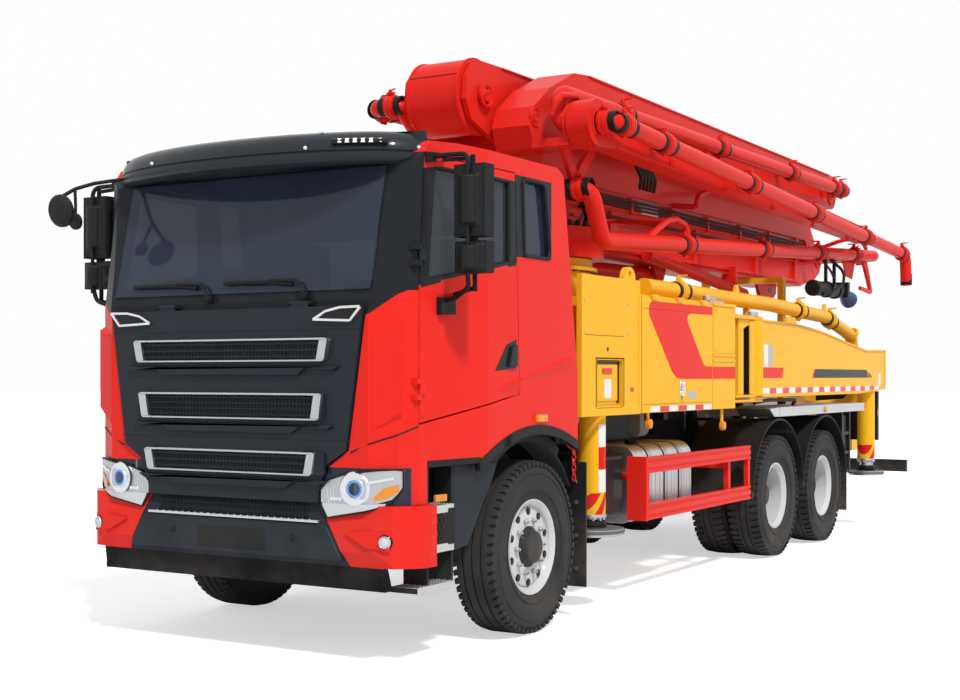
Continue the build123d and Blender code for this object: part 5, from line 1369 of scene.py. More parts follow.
def coupling(bands, clasps, centre, along, gap=0.092):
    """A two-part coupling with its lever, and a rubber band on each side of it."""
    centre = Vector(centre)
    along = Vector(along).normalized()
    for step in (-1, 1):
        bands.lathe(centre + along * step * gap, along, [(-0.026, PIPE_R - 0.002), (-0.024, PIPE_R + 0.008),
                    (0.024, PIPE_R + 0.008), (0.026, PIPE_R - 0.002)], 24, ring=True)
    clasps.lathe(centre, along, [(-0.044, PIPE_R - 0.004), (-0.040, PIPE_R + 0.018), (-0.014, PIPE_R + 0.024),
                 (-0.010, PIPE_R + 0.019), (0.010, PIPE_R + 0.019), (0.014, PIPE_R + 0.024),
                 (0.040, PIPE_R + 0.018), (0.044, PIPE_R - 0.004)], 28, ring=True)
    up = (Vector((0.3, 0, 1)) - along * along.dot(Vector((0.3, 0, 1)))).normalized()
    side = along.cross(up)
    top = centre + up * (PIPE_R + 0.032)
    clasps.rod(top - along * 0.034, top + along * 0.034, 0.013, 8)
    clasps.rod(top - side * 0.030 - up * 0.024, top + side * 0.012 + up * 0.026, 0.014, 8)
    clasps.rod(top + side * 0.012 + up * 0.022, top - side * 0.075 + up * 0.030, 0.010, 8, 0.006)
    low = centre - up * (PIPE_R + 0.024)
    clasps.rod(low - along * 0.034, low + along * 0.034, 0.013, 8)


def pin_cap(shape, centre, outward, radius):
    """Cover of a hinge pin: stepped rings."""
    shape.lathe(centre, outward, [(-0.01, radius), (0.008, radius), (0.012, radius * 0.93),
                                  (0.004, radius * 0.88), (0.004, radius * 0.60), (0.014, radius * 0.56),
                                  (0.016, radius * 0.30), (0.010, radius * 0.26), (0.010, 0.0)], 40)


class PUMP_OT_couplings(bpy.types.Operator):
    """Couplings, levers and rubber bands on the delivery line"""
    bl_idname = "pump.couplings"
    bl_label = "Couplings"

    def execute(self, context):
        bands = {}
        clasps = {}
        for arm, y, start, end, places in DELIVERY_LINES:
            for x in places:
                z = start[1] + (end[1] - start[1]) * (x - start[0]) / (end[0] - start[0])
                along = Vector((end[0] - start[0], 0, end[1] - start[1]))
                coupling(bands.setdefault(arm, Shape()), clasps.setdefault(arm, Shape()), at(x, y, z), along)
        for arm, x, y, z, along in ELBOW_COUPLINGS:
            gap = 0.074 if along == ACROSS else 0.092
            coupling(bands.setdefault(arm, Shape()), clasps.setdefault(arm, Shape()), at(x, y, z), along, gap)
        for arm in bands:
            bands[arm].piece(f"pipe_bands_{arm}", arm, "hose_black")
            clasps[arm].piece(
                f"pipe_couplings_{arm}", arm, "body_yellow" if arm == "truck" else "boom_red", 0.002)
        return {"FINISHED"}


class PUMP_OT_boom(bpy.types.Operator):
    """Pin caps, weld flanges, hoses, guard loops and the hose-end holder"""
    bl_idname = "pump.boom"
    bl_label = "Boom"

    def execute(self, context):
        self.caps()
        self.edges()
        self.trays()
        self.loops()
        self.hoses()
        self.tip_gear()
        return {"FINISHED"}

    def caps(self):
        """Covers of the boom's pins and the drum of arm 3."""
        for body, places in (("arm_2", ((-1.28, 0.10, 3.69, 1, 0.085), (-1.28, -0.50, 3.69, -1, 0.085))),
                             ("turret", ((-1.60, -0.56, 3.0, -1, 0.10),)),
                             ("arm_4", ((-1.415, 0.44, 3.52, 1, 0.070), (-8.60, 0.445, 3.75, 1, 0.150)))):
            caps = Shape()
            for x, y, z, side, radius in places:
                pin_cap(caps, at(x, y, z), (0, side, 0), radius)
            caps.piece(f"pin_caps_{body}", body, "boom_red", 0.001)
        slots = Shape()
        for dx, dz in ((0.0, 0.052), (0.0, -0.052), (0.024, 0.0)):
            slots.box(-1.286 + dx, -1.274 + dx, 0.108, 0.1165, 3.682 + dz, 3.698 + dz)
        slots.piece("pin_slots", "arm_2", "black_marks_and_shade")
        drum = Shape()
        for angle in (28, 204):
            t = math.radians(angle)
            place = at(-1.28 + 0.281 * math.cos(t), 0, 3.69 + 0.281 * math.sin(t))
            drum.rod(place + Vector((0, -0.415, 0)), place + Vector((0, 0.0, 0)), 0.0035, 6)
        drum.piece("drum_seam", "arm_3", "black_marks_and_shade")
        cover = Shape()
        for y in (-0.418, 0.004):
            cover.lathe(at(-1.28, y, 3.69), ACROSS,
                        [(0.0, 0.275), (0.0, 0.288), (0.014, 0.288), (0.014, 0.275)], 64, ring=True)
        cover.piece("drum_rims", "arm_3", "boom_red", 0.002)

    def edges(self):
        """Plates that stand proud along the arms' edges."""
        rims = {
            "arm_1": (((-3.00, 2.66), (-8.50, 2.66)), ((-2.35, 3.08), (-8.90, 3.08))),
            "arm_2": (((-1.80, 3.225), (-8.80, 3.225)), ((-2.20, 3.54), (-8.90, 3.54))),
            "arm_3": (((-1.90, 3.590), (-8.75, 3.600)), ((-1.65, 3.975), (-8.45, 3.975))),
            "arm_4": (((-2.40, 3.56), (-8.50, 3.56)), ((-2.30, 3.985), (-8.50, 3.947))),
            "arm_5": (((-1.80, 3.300), (-8.55, 3.137)), ((-1.80, 3.560), (-8.55, 3.272))),
        }
        sides = {"arm_1": (-0.50, 0.10), "arm_2": (-0.45, 0.05), "arm_3": (-0.42, 0.02),
                 "arm_4": (0.12, 0.44), "arm_5": (0.74, 0.92)}
        for arm, runs in rims.items():
            shape = Shape()
            for k, ((x0, z0), (x1, z1)) in enumerate(runs):
                lift = -0.002 if k else 0.002
                for y, out in zip(sides[arm], (-1, 1)):
                    shape.slab_y([(x0, z0 + lift), (x1, z1 + lift),
                                  (x1, z1 + lift - (0.014 if k else -0.014)),
                                  (x0, z0 + lift - (0.014 if k else -0.014))], y - 0.004 * out,
                                 y + 0.014 * out)
            shape.piece(f"weld_flanges_{arm}", arm, "boom_red", 0.002)

    def trays(self):
        """Hose tray, stiffeners and ribs."""
        tray = Shape()
        for x0, x1 in ((-2.55, -4.05), (-4.50, -6.30), (-6.34, -8.55)):
            tray.box(x1, x0, 0.062, 0.100, 3.078, 3.150)
            tray.box(x1, x0, 0.062, 0.070, 3.150, 3.212)
        for x in (-2.9, -3.8, -4.7, -5.6, -6.5, -7.4, -8.3):
            tray.box(x - 0.02, x + 0.02, 0.062, 0.125, 3.05, 3.200)
        tray.piece("hose_tray", "arm_1", "boom_red", 0.003)
        side = Shape()
        side.slab_y([(-3.05, 2.70), (-8.40, 2.70), (-8.40, 2.73), (-3.05, 2.73)], 0.098, 0.125)
        side.slab_y([(-2.65, 2.93), (-8.60, 2.93), (-8.60, 2.95), (-2.65, 2.95)], 0.098, 0.120)
        for x in (-3.4, -5.3, -7.0, -8.3):
            side.slab_y([(x - 0.10, 2.70), (x + 0.10, 2.70), (x + 0.05, 3.04), (x - 0.05, 3.04)], 0.098,
                        0.135)
            side.box(x - 0.02, x + 0.02, 0.10, 0.78, 2.705 + (-(x + 2.96)) * 0.0549,
                     2.735 + (-(x + 2.96)) * 0.0549)
        side.piece("arm_1_stiffeners", "arm_1", "boom_red", 0.003)
        ribs = Shape()
        for x in (-2.8, -4.0, -5.2, -6.4, -7.6):
            z = 3.56 - (-(x + 1.8)) * 0.0424
            ribs.slab_y([(x - 0.03, z - 0.24), (x + 0.03, z - 0.24), (x + 0.03, z - 0.01),
                         (x - 0.03, z - 0.01)], 0.918, 0.938)
        ribs.piece("arm_5_ribs", "arm_5", "boom_red", 0.003)

    def loops(self):
        """Guard loops round the pipe ends."""
        loops = Shape()
        loops.pipe([at(-2.62, 0.80, 2.71), at(-3.02, 0.80, 2.885), at(-3.20, 0.80, 2.915),
                    at(-3.42, 0.80, 2.88), at(-3.46, 0.80, 2.73)], 0.026, 0.12, 12)
        loops.rod(at(-2.98, 0.80, 2.86), at(-2.99, 0.12, 2.92), 0.018, 10)
        loops.pipe([at(-8.85, 0.14, 3.10), at(-8.86, 0.52, 3.22), at(-9.25, 0.60, 3.24),
                    at(-9.48, 0.60, 3.16), at(-9.50, 0.60, 3.04)], 0.024, 0.12, 12)
        loops.piece("guard_loops_arm_1", "arm_1", "boom_red")
        upper = Shape()
        upper.pipe([at(-4.84, 0.30, 3.21), at(-4.90, 0.30, 3.33), at(-5.15, 0.30, 3.39),
                    at(-6.22, 0.30, 3.52), at(-6.40, 0.30, 3.57)], 0.026, 0.12, 12)
        upper.rod(at(-4.84, 0.30, 3.21), at(-4.84, 0.06, 3.24), 0.026, 12)
        upper.pipe([at(-1.30, 0.64, 3.50), at(-1.29, 0.68, 3.60), at(-1.36, 0.69, 3.65),
                    at(-1.60, 0.69, 3.685), at(-1.70, 0.66, 3.66)], 0.022, 0.06, 12)
        upper.slab_y([(-1.50, 3.34), (-1.60, 3.36), (-1.76, 3.15), (-2.10, 3.46), (-2.18, 3.42),
                      (-1.78, 3.06), (-1.70, 3.06)], 0.575, 0.615)
        upper.rod(at(-2.12, 0.60, 3.44), at(-2.12, 0.44, 3.60), 0.022, 10)
        upper.piece("guard_loops_arm_4", "arm_4", "boom_red", 0.002)

    def hoses(self):
        """Hydraulic hoses, and the bolts of the slewing flange."""
        lines = Shape()
        for k in range(3):
            points = []
            for i, x in enumerate((-2.75, -3.6, -4.6, -5.6, -6.6, -7.6, -8.55)):
                points.append(at(x, 0.112 + 0.004 * k, 3.108 + 0.030 * k - 0.010 * (i % 2)))
            lines.pipe(points, 0.0115, 1.2, 8, 4)
        lines.pipe([at(-2.75, 0.13, 3.02), at(-3.2, 0.135, 2.985), at(-5.0, 0.13, 3.00),
                    at(-7.0, 0.13, 2.985), at(-8.6, 0.13, 3.00)], 0.013, 0.6, 8, 4)
        lines.pipe([at(-2.50, 0.16, 2.80), at(-2.62, 0.24, 2.93), at(-2.72, 0.20, 3.06),
                    at(-2.95, 0.13, 3.13)], 0.015, 0.2, 8, 5)
        lines.pipe([at(-3.0, 0.13, 3.15), at(-3.5, 0.125, 3.165), at(-8.4, 0.125, 3.160)], 0.012, 0.5, 8, 3)
        lines.piece("hoses_arm_1", "arm_1", "hose_black")
        arcs = Shape()
        for k in range(5):
            x = -2.74 - 0.070 * k
            arcs.pipe([at(x, 0.42, 3.62), at(x - 0.02, 0.54, 3.57), at(x - 0.10, 0.56, 3.42),
                       at(x - 0.34, 0.54, 3.27), at(x - 0.62, 0.40, 3.22)], 0.019, 0.16, 10, 7)
        arcs.pipe([at(-2.45, 0.43, 3.54), at(-2.62, 0.47, 3.50), at(-2.72, 0.46, 3.52)], 0.014, 0.1, 10, 4)
        arcs.piece("hoses_arm_4", "arm_4", "hose_black")
        slew = Shape()
        for k in range(3):
            slew.pipe([at(-2.30 - 0.05 * k, 0.22 + 0.05 * k, 2.76),
                       at(-2.60, 0.30 + 0.05 * k, 2.82 + 0.02 * k), at(-2.42, 0.32 + 0.05 * k, 3.02),
                       at(-2.10 - 0.04 * k, 0.26, 3.04)], 0.020, 0.14, 10, 6)
        slew.pipe([at(-2.36, 0.42, 2.77), at(-2.56, 0.44, 2.90), at(-2.42, 0.36, 3.08)], 0.034, 0.2, 10, 6)
        slew.piece("hoses_turret", "turret", "hose_black")
        bolts = Shape()
        heads = ring_of_heads(40, 0.535, 0.021, 0.052)
        bolts.add_mesh(heads, at(-2.15, 0, 2.785))
        bolts.piece("flange_bolts", "turret", "hose_black", 0.003)
        lower = ring_of_heads(40, 0.455, 0.019, 0.040)
        Shape().lathe(at(-2.15, 0, 2.46), UP, [(-0.03, 0.49), (-0.03, 0.53), (0.0, 0.53), (0.0, 0.49)], 64,
                      ring=True).piece("slew_ring_collar", "truck", "body_yellow", 0.002)
        Shape().add_mesh(lower, Matrix.Translation(at(-2.15, 0, 2.44)) @ Matrix.Scale(1.12, 4)).piece(
            "slew_ring_bolts", "truck", "cast_metal", 0.003)

    def tip_gear(self):
        """End-hose holder, funnel, bracket, painted shade in a plate's hole, and the hose's sleeve."""
        holder = Shape()
        holder.rod(at(-6.85, 0.80, 2.535), at(-7.75, 0.80, 2.545), 0.078, 28)
        holder.lathe(at(-6.80, 0.80, 2.534), AHEAD,
                     [(-0.05, 0.086), (0.0, 0.086), (0.012, 0.07), (0.012, 0.0)], 28)
        for x in (-7.25, -7.55):
            holder.lathe(at(x, 0.80, 2.54), AHEAD,
                         [(-0.015, 0.076), (-0.015, 0.090), (0.015, 0.090), (0.015, 0.076)], 28, ring=True)
            holder.box(x - 0.02, x + 0.02, 0.785, 0.815, 2.60, 2.90)
        holder.box(-7.80, -7.72, 0.70, 0.90, 2.47, 2.64)
        holder.piece("end_hose_holder", "arm_1", "hose_black", 0.003)
        funnel = Shape()
        funnel.lathe(at(-7.80, 0.80, 2.53), (-1, 0, -0.22), [(0.0, 0.040), (0.07, 0.042), (0.28, 0.092),
                                                             (0.31, 0.094), (0.31, 0.086), (0.28, 0.084),
                                                             (0.08, 0.032), (0.0, 0.032)], 32, ring=True)
        funnel.lathe(at(-7.80, 0.80, 2.53), (-1, 0, -0.22), [(0.02, 0.045), (0.05, 0.045), (0.055, 0.0)], 24)
        funnel.piece("hose_funnel", "arm_1", "funnel_blue")
        hook = Shape()
        hook.slab_y([(-8.62, 2.93), (-8.78, 2.93), (-9.00, 2.60), (-8.94, 2.57), (-8.52, 2.60), (-8.52, 2.64),
                     (-8.90, 2.62)], 0.785, 0.815)
        hook.slab_y([(-8.05, 2.95), (-8.60, 2.98), (-8.45, 2.72), (-8.22, 2.74)], 0.72, 0.735)
        hook.box(-8.64, -8.50, 0.10, 0.80, 2.94, 2.97)
        hook.piece("hose_end_bracket", "arm_1", "boom_red", 0.003)
        wires = Shape()
        wires.pipe([at(-7.10, 0.80, 2.86), at(-7.12, 0.90, 2.72), at(-7.22, 0.91, 2.62),
                    at(-7.24, 0.88, 2.56)], 0.012, 0.1, 8, 5)
        wires.pipe([at(-7.40, 0.80, 2.87), at(-7.50, 0.93, 2.74), at(-7.42, 0.94, 2.60),
                    at(-7.10, 0.92, 2.50), at(-6.96, 0.86, 2.47)], 0.016, 0.12, 8, 5)
        wires.piece("holder_wires", "arm_1", "hose_black")
        # The black ellipse on the plate is painted shade in its hole.
        hole = Shape()
        ring = [at(-7.86 + 0.055 * math.cos(t), -0.0395, 2.585 + 0.030 * math.sin(t))
                for t in (2 * math.pi * i / 24 for i in range(24))]
        hole.hull(ring, [p + Vector((0, 0.003, 0)) for p in ring])
        hole.piece("plate_hole_shade", "arm_1", "black_marks_and_shade")
        Shape().lathe(at(-9.606, 1.05, 2.78), (0, 0, -1),
                      [(-0.06, 0.0655), (-0.055, 0.069), (0.070, 0.069), (0.075, 0.0655)], 32, ring=True).piece(
            "end_hose_sleeve", "arm_5", "hose_black")


# ---------------------------------------------------------------- body
def strip_blocks(count, pitch, high, thick, first):
    """Every other block of a warning strip, laid along -X and standing up +Z."""
    net = Repeats("strip_blocks")
    net.size("Count", count, "NodeSocketInt")
    net.size("Pitch", pitch)
    step = net.node("ShaderNodeCombineXYZ", X=-pitch * 2)
    line = net.node("GeometryNodeMeshLine", Count=net.input("Count"),
                    Start_Location=(-pitch * (first + 0.5), 0, 0), Offset=step.outputs[0])
    block = net.node("GeometryNodeMeshCube", Size=(pitch, thick, high))
    copies = net.node("GeometryNodeInstanceOnPoints", Points=line.outputs[0], Instance=block.outputs[0])
    return net.grown(copies.outputs[0])


def chain_links(count, pitch, wire):
    """Oval links, each turned a quarter against the last, hanging down."""
    net = Repeats("chain_links")
    net.size("Count", count, "NodeSocketInt")
    net.size("Wire", wire)
    line = net.node("GeometryNodeMeshLine", Count=net.input("Count"), Offset=(0, 0, -pitch))
    oval = net.node("GeometryNodeCurvePrimitiveCircle", Resolution=12, Radius=pitch * 0.62)
    squeezed = net.node("GeometryNodeTransform", Geometry=oval.outputs[0], Rotation=(math.radians(90), 0, 0),
                        Scale=(0.62, 1.0, 1.0))
    section = net.node("GeometryNodeCurvePrimitiveCircle", Resolution=6, Radius=net.input("Wire"))
    link = net.node("GeometryNodeCurveToMesh", Curve=squeezed.outputs[0], Profile_Curve=section.outputs[0])
    index = net.node("GeometryNodeInputIndex")
    quarter = net.node("ShaderNodeMath", {"operation": "MULTIPLY"})
    net.tree.links.new(index.outputs[0], quarter.inputs[0])
    quarter.inputs[1].default_value = math.radians(90)
    turn = net.node("ShaderNodeCombineXYZ", Z=quarter.outputs[0])
    copies = net.node("GeometryNodeInstanceOnPoints", Points=line.outputs[0], Instance=link.outputs[0],
                      Rotation=turn.outputs[0])
    return net.grown(copies.outputs[0])


def warning_strip(name, body, start, y, z, count, pitch, high):
    """A row of white and red blocks."""
    for colour, material, first in (("white", "white_paint", 0), ("red", "reflector_red", 1)):
        blocks = Shape()
        mesh = strip_blocks((count + 1 - first) // 2, pitch, high, 0.002, first)
        blocks.add_mesh(mesh, at(start, y, z))
        blocks.piece(f"{name}_{colour}", body, material)


def sticker(points, side, y, thick=0.0015):
    """A flat film with the outline (x, z) on an upright side."""
    return Shape().slab_y(points, side * (y - 0.002), side * (y + thick))


def leg_paint(name, top, foot, x0, y0):
    """Yellow outrigger tube with white and red blocks, and red diagonals near the foot."""
    net = Net(name)
    yellow = tuple(bpy.context.scene.pump_paint.yellow)
    red = (0.70, 0.012, 0.012)
    x, y, z = net.xyz()[1:]
    x = x - AXLE_X
    out = y.absolute() - y0
    facing_out = (out > 0.03) * (out < 0.5) * (z < top) * ((x - x0).absolute() < 0.055)
    third = (top - 0.02 - z) / 0.155
    inside = (third > 0.0) * (third < 3.0)
    blocks = facing_out * inside
    middle = blocks * (third > 1.0) * (third < 2.0)
    slant = (((x - x0) * 1.9 + z - foot) / 0.17).fract()
    marks = (z < foot + 0.17) * (z > foot + 0.015) * (slant > 0.42) * (out < 0.13)
    broad = net.noise(0.8, 4.0)
    shade = net.mix(broad, rgba(yellow, 0.93), rgba(yellow, 1.05))
    shade = net.mix(blocks, shade, (0.8, 0.8, 0.8, 1.0))
    shade = net.mix((middle + marks).at_most(1.0), shade, rgba(red))
    dirt = road_dust(net) * 0.25
    shade = net.mix(dirt, shade, MUD)
    return lacquered(net, shade, 0.3 + dirt * 0.5, 0.06)


class PUMP_OT_markings(bpy.types.Operator):
    """Red sweep, stripes, warning strips and blank plates"""
    bl_idname = "pump.markings"
    bl_label = "Markings"

    def execute(self, context):
        sweep = [(-1.662, 2.060), (-1.664, 2.110), (-1.685, 2.143), (-1.725, 2.157), (-2.882, 2.160),
                 (-2.882, 2.098), (-2.440, 2.092), (-2.395, 2.082), (-2.370, 2.058), (-2.384, 2.020),
                 (-2.672, 1.728), (-2.710, 1.698), (-2.773, 1.686), (-2.882, 1.686), (-2.882, 1.588),
                 (-2.240, 1.589), (-2.160, 1.600), (-2.085, 1.640)]
        for name, side in SIDES:
            door = f"cabinet_door_{name}"
            beam = f"rear_beam_{name}"
            sticker(sweep, side, CABINET_Y).piece(f"red_sweep_{name}", door, "cab_red")
            sticker([(-2.898, 1.588), (-2.898, 1.686), (-3.388, 1.686), (-3.388, 1.588)], side, CABINET_Y).piece(
                f"red_band_{name}", "truck", "cab_red")
            sticker([(-4.075, 1.592), (-4.075, 1.684), (-4.605, 1.684), (-4.560, 1.592)], side, BEAM_Y).piece(
                f"red_band_beam_{name}", beam, "cab_red")
            sticker([(-5.420, 1.592), (-5.480, 1.676), (-5.522, 1.676), (-5.462, 1.592)], side, BEAM_Y).piece(
                f"stripe_tip_{name}", beam, "cab_red")
            dark = sticker([(-5.465, 1.592), (-5.525, 1.676), (-7.245, 1.674), (-7.305, 1.592)], side, BEAM_Y)
            for i in range(3):
                x = -7.330 - 0.045 * i
                dark.slab_y([(x, 1.592), (x + 0.045, 1.650 - 0.012 * i), (x + 0.022, 1.650 - 0.012 * i),
                             (x - 0.023, 1.592)], side * 1.239, side * 1.2425)
            dark.piece(f"dark_stripe_{name}", beam, "black_marks_and_shade")
            warning_strip(f"cabinet_strip_{name}", door, -1.690, side * 1.2455, 1.3685, 7, 0.168, 0.040)
            warning_strip(f"beam_strip_{name}", beam, -4.060, side * 1.2415, 1.480, 21, 0.1735, 0.048)
            plates = sticker([(-4.09, 1.69), (-4.09, 1.885), (-4.20, 1.885), (-4.20, 1.69)], side, BEAM_Y)
            plates.slab_y([(-7.70, 1.50), (-7.70, 1.64), (-7.78, 1.64), (-7.78, 1.50)], side * 1.239,
                          side * 1.243)
            plates.piece(f"blank_labels_{name}", beam, "white_paint")
            grey = sticker([(-4.205, 1.69), (-4.205, 1.882), (-4.31, 1.882), (-4.31, 1.69)], side, BEAM_Y)
            grey.piece(f"blank_label_grey_{name}", beam, "satin_steel")
            jack = Shape()
            low = 1.46 if side > 0 else 1.79
            jack.box(-1.070, -0.965, side * 1.224, side * 1.2285, low, low + 0.130)
            jack.piece(f"blank_jack_label_{name}", f"front_beam_{name}", "white_paint")
            Shape().box(-1.08, -0.93, side * 1.224, side * 1.230, low + 0.165, low + 0.205).piece(
                f"jack_reflector_{name}", f"front_beam_{name}", "reflector_red", 0.001)
            Shape().box(-1.400, -1.345, side * 1.243, side * 1.2465, 1.500, 1.530).piece(
                f"corner_reflector_{name}", "truck", "reflector_red")
        return {"FINISHED"}


class PUMP_OT_body(bpy.types.Operator):
    """Latches, seams, beam carriers, lamps, tank straps and rails"""
    bl_idname = "pump.body"
    bl_label = "Body"

    def execute(self, context):
        for name, side in SIDES:
            self.cabinet(name, side)
            self.front_housing(name, side)
            self.rear_beam(name, side)
            self.below(name, side)
            self.legs(name, side)
        self.tank()
        self.deck()
        return {"FINISHED"}

    def cabinet(self, name, side):
        """Latch, blank plate, seams and column panel."""
        latch = Shape()
        latch.box(-2.30, -2.22, side * 1.243, side * 1.253, 1.455, 1.575)
        latch.rod(at(-2.26, side * 1.252, 1.548), at(-2.26, side * 1.268, 1.548), 0.024, 16)
        latch.rod(at(-2.26, side * 1.250, 1.480), at(-2.26, side * 1.264, 1.480), 0.028, 16)
        latch.slab_y([(-2.242, 1.485), (-2.278, 1.485), (-2.272, 1.545), (-2.248, 1.545)], side * 1.262,
                     side * 1.272)
        latch.piece(f"latch_{name}", f"cabinet_door_{name}", "chrome", 0.003)
        Shape().box(-2.545, -2.395, side * 1.243, side * 1.2465, 1.437, 1.492).piece(
            f"blank_plate_{name}", f"cabinet_door_{name}", "satin_steel")
        seams = Shape()
        seams.box(-2.870, -1.560, side * 1.2445, side * 1.2457, 1.404, 1.4065)
        seams.box(-2.870, -1.560, side * 1.2465, side * 1.2472, 2.0985, 2.1005)
        seams.box(-2.2615, -2.2585, side * 1.2445, side * 1.2457, 1.404, 1.455)
        seams.piece(f"cabinet_seams_{name}", f"cabinet_door_{name}", "black_marks_and_shade")
        column = Shape()
        column.box(-3.375, -2.915, side * 1.243, side * 1.2485, 1.795, 2.165)
        column.box(-3.388, -2.897, side * 1.243, side * 1.256, 2.172, 2.196)
        column.box(-3.388, -2.897, side * 1.243, side * 1.254, 1.768, 1.784)
        column.box(-3.388, -2.897, side * 1.243, side * 1.254, 1.726, 1.738)
        heads = row_of_heads(2, (-0.40, 0, 0), 0.009, 0.010, 8, (math.radians(90), 0, 0))
        for z in (1.82, 2.14):
            column.add_mesh(heads, at(-2.945, side * 1.250, z))
        column.piece(f"column_panel_{name}", "truck", "body_yellow", 0.002)

    def front_housing(self, name, side):
        """Seams, screws and edges of a front beam's housing, and the beam's cover."""
        dark = Shape()
        base = 1.392 if side > 0 else 1.72      # the right beam lies above the left one
        lift = 0.0 if side > 0 else 0.33
        top = 1.721 + lift
        foot = top - 0.306
        for x0, x1 in ((-0.807, -0.797), (-1.243, -1.233)):
            dark.box(x0, x1, side * 1.2440, side * 1.2462, foot - 0.016, top + 0.016)
        dark.box(-1.243, -0.797, side * 1.2440, side * 1.2462, top + 0.007, top + 0.016)
        line = 1.885 if side > 0 else 2.125
        dark.box(-1.245, -0.635, side * 1.2445, side * 1.2458, line, line + 0.003)
        spot = 1.795 if side > 0 else 1.62
        dark.lathe(at(-0.98, side * 1.2445, spot), (0, side, 0), [(0, 0.015), (0.0015, 0.015), (0.0016, 0.0)],
                   20)
        dark.piece(f"housing_seams_{name}", "truck", "black_marks_and_shade")
        screws = Shape()
        for x, z in ((-0.64, 2.11), (-1.30, 2.11), (-1.30, 1.905), (-0.64, 1.905)):
            screws.lathe(at(x, side * 1.244, z), (0, side, 0),
                         [(0, 0.010), (0.004, 0.010), (0.006, 0.005), (0.006, 0)], 10)
        screws.piece(f"housing_screws_{name}", "truck", "satin_steel")
        corner = Shape()
        corner.box(-1.512, -1.480, side * 1.20, side * 1.252, 1.345, 2.200)
        corner.slab_y([(-0.66, 1.34), (-1.49, 1.34), (-1.49, 1.392), (-0.70, 1.392)], side * 1.24,
                      side * 1.249)
        corner.piece(f"housing_edges_{name}", "truck", "body_yellow", 0.004)
        flange = Shape()
        flange.box(-1.215, -0.825, side * 1.00, side * 1.232, base, base + 0.020)
        flange.box(-1.175, -0.865, side * 1.205, side * 1.226, 1.44 + lift, 1.69 + lift)
        slot = Shape()
        low, high = 1.425 + lift, 1.712 + lift
        for x0, x1 in ((-0.862, -0.826), (-1.214, -1.178)):
            slot.box(x0, x1, side * 1.21, side * 1.219, low, high)
        slot.box(-1.178, -0.862, side * 1.21, side * 1.219, high - 0.018, high)
        slot.piece(f"slot_shade_{name}", f"front_beam_{name}", "black_marks_and_shade")
        flange.piece(f"jack_cover_{name}", f"front_beam_{name}", "body_yellow", 0.004)
        bolts = Shape()
        heads = row_of_heads(4, (-0.075, 0, 0), 0.014, 0.024)
        bolts.add_mesh(heads, at(-0.905, side * 1.195, base - 0.010))
        bolts.piece(f"jack_bolts_{name}", f"front_beam_{name}", "cast_metal", 0.002)

    def rear_beam(self, name, side):
        """Flanges of a rear beam, its post with painted shade on its front and in its recess, and its pin's cap.
        """
        rims = Shape()
        top = [(-4.06, 2.086), (-5.05, 2.068), (-5.70, 2.028), (-7.20, 1.868), (-7.95, 1.878)]
        for (x0, z0), (x1, z1) in zip(top, top[1:]):
            rims.slab_y([(x0, z0), (x1, z1), (x1, z1 + 0.016), (x0, z0 + 0.016)], side * 1.060, side * 1.252)
        rims.slab_y([(-4.06, 1.426), (-7.00, 1.426), (-7.95, 1.466), (-7.95, 1.480), (-7.00, 1.440),
                     (-4.06, 1.440)], side * 1.060, side * 1.250)
        rims.box(-7.962, -7.945, side * 1.055, side * 1.250, 1.474, 1.885)
        hump = [(-4.95, 2.07), (-4.98, 2.135), (-5.02, 2.16), (-5.20, 2.16), (-5.24, 2.13), (-5.27, 2.06)]
        rims.slab_y(hump, side * 1.12, side * 1.15)
        rims.piece(f"beam_flanges_{name}", f"rear_beam_{name}", "body_yellow", 0.003)
        post = Shape()
        post.box(-3.880, -3.770, side * 1.095, side * 1.236, 1.452, 2.084)
        post.box(-3.640, -3.520, side * 1.095, side * 1.225, 1.452, 2.084)
        post.box(-3.880, -3.400, side * 1.02, side * 1.250, 2.090, 2.112)
        post.box(-3.880, -3.400, side * 1.02, side * 1.250, 1.432, 1.450)
        post.box(-3.880, -3.400, side * 1.02, side * 1.240, 1.392, 1.410)
        post.slab_y([(-3.52, 2.09), (-3.80, 2.09), (-3.80, 2.05), (-3.70, 2.03), (-3.56, 1.98)], side * 1.20,
                    side * 1.228)
        post.piece(f"beam_post_{name}", "truck", "body_yellow", 0.004)
        # Black sheets on the post's front face and in its recess are painted shade.
        gap = Shape()
        gap.box(-3.775, -3.635, side * 1.102, side * 1.108, 1.455, 2.080)
        gap.box(-3.772, -3.765, side * 1.105, side * 1.225, 1.456, 2.076)
        gap.box(-3.515, -3.396, side * 1.10, side * 1.11, 1.40, 2.10)
        gap.piece(f"beam_recess_shade_{name}", "truck", "black_marks_and_shade")
        Shape().lathe(at(-4.05, side * 1.145, 2.131), UP,
                      [(0, 0.055), (0.030, 0.055), (0.038, 0.045), (0.038, 0)], 28).piece(
            f"swing_pin_cap_{name}", "truck", "satin_steel", 0.002)

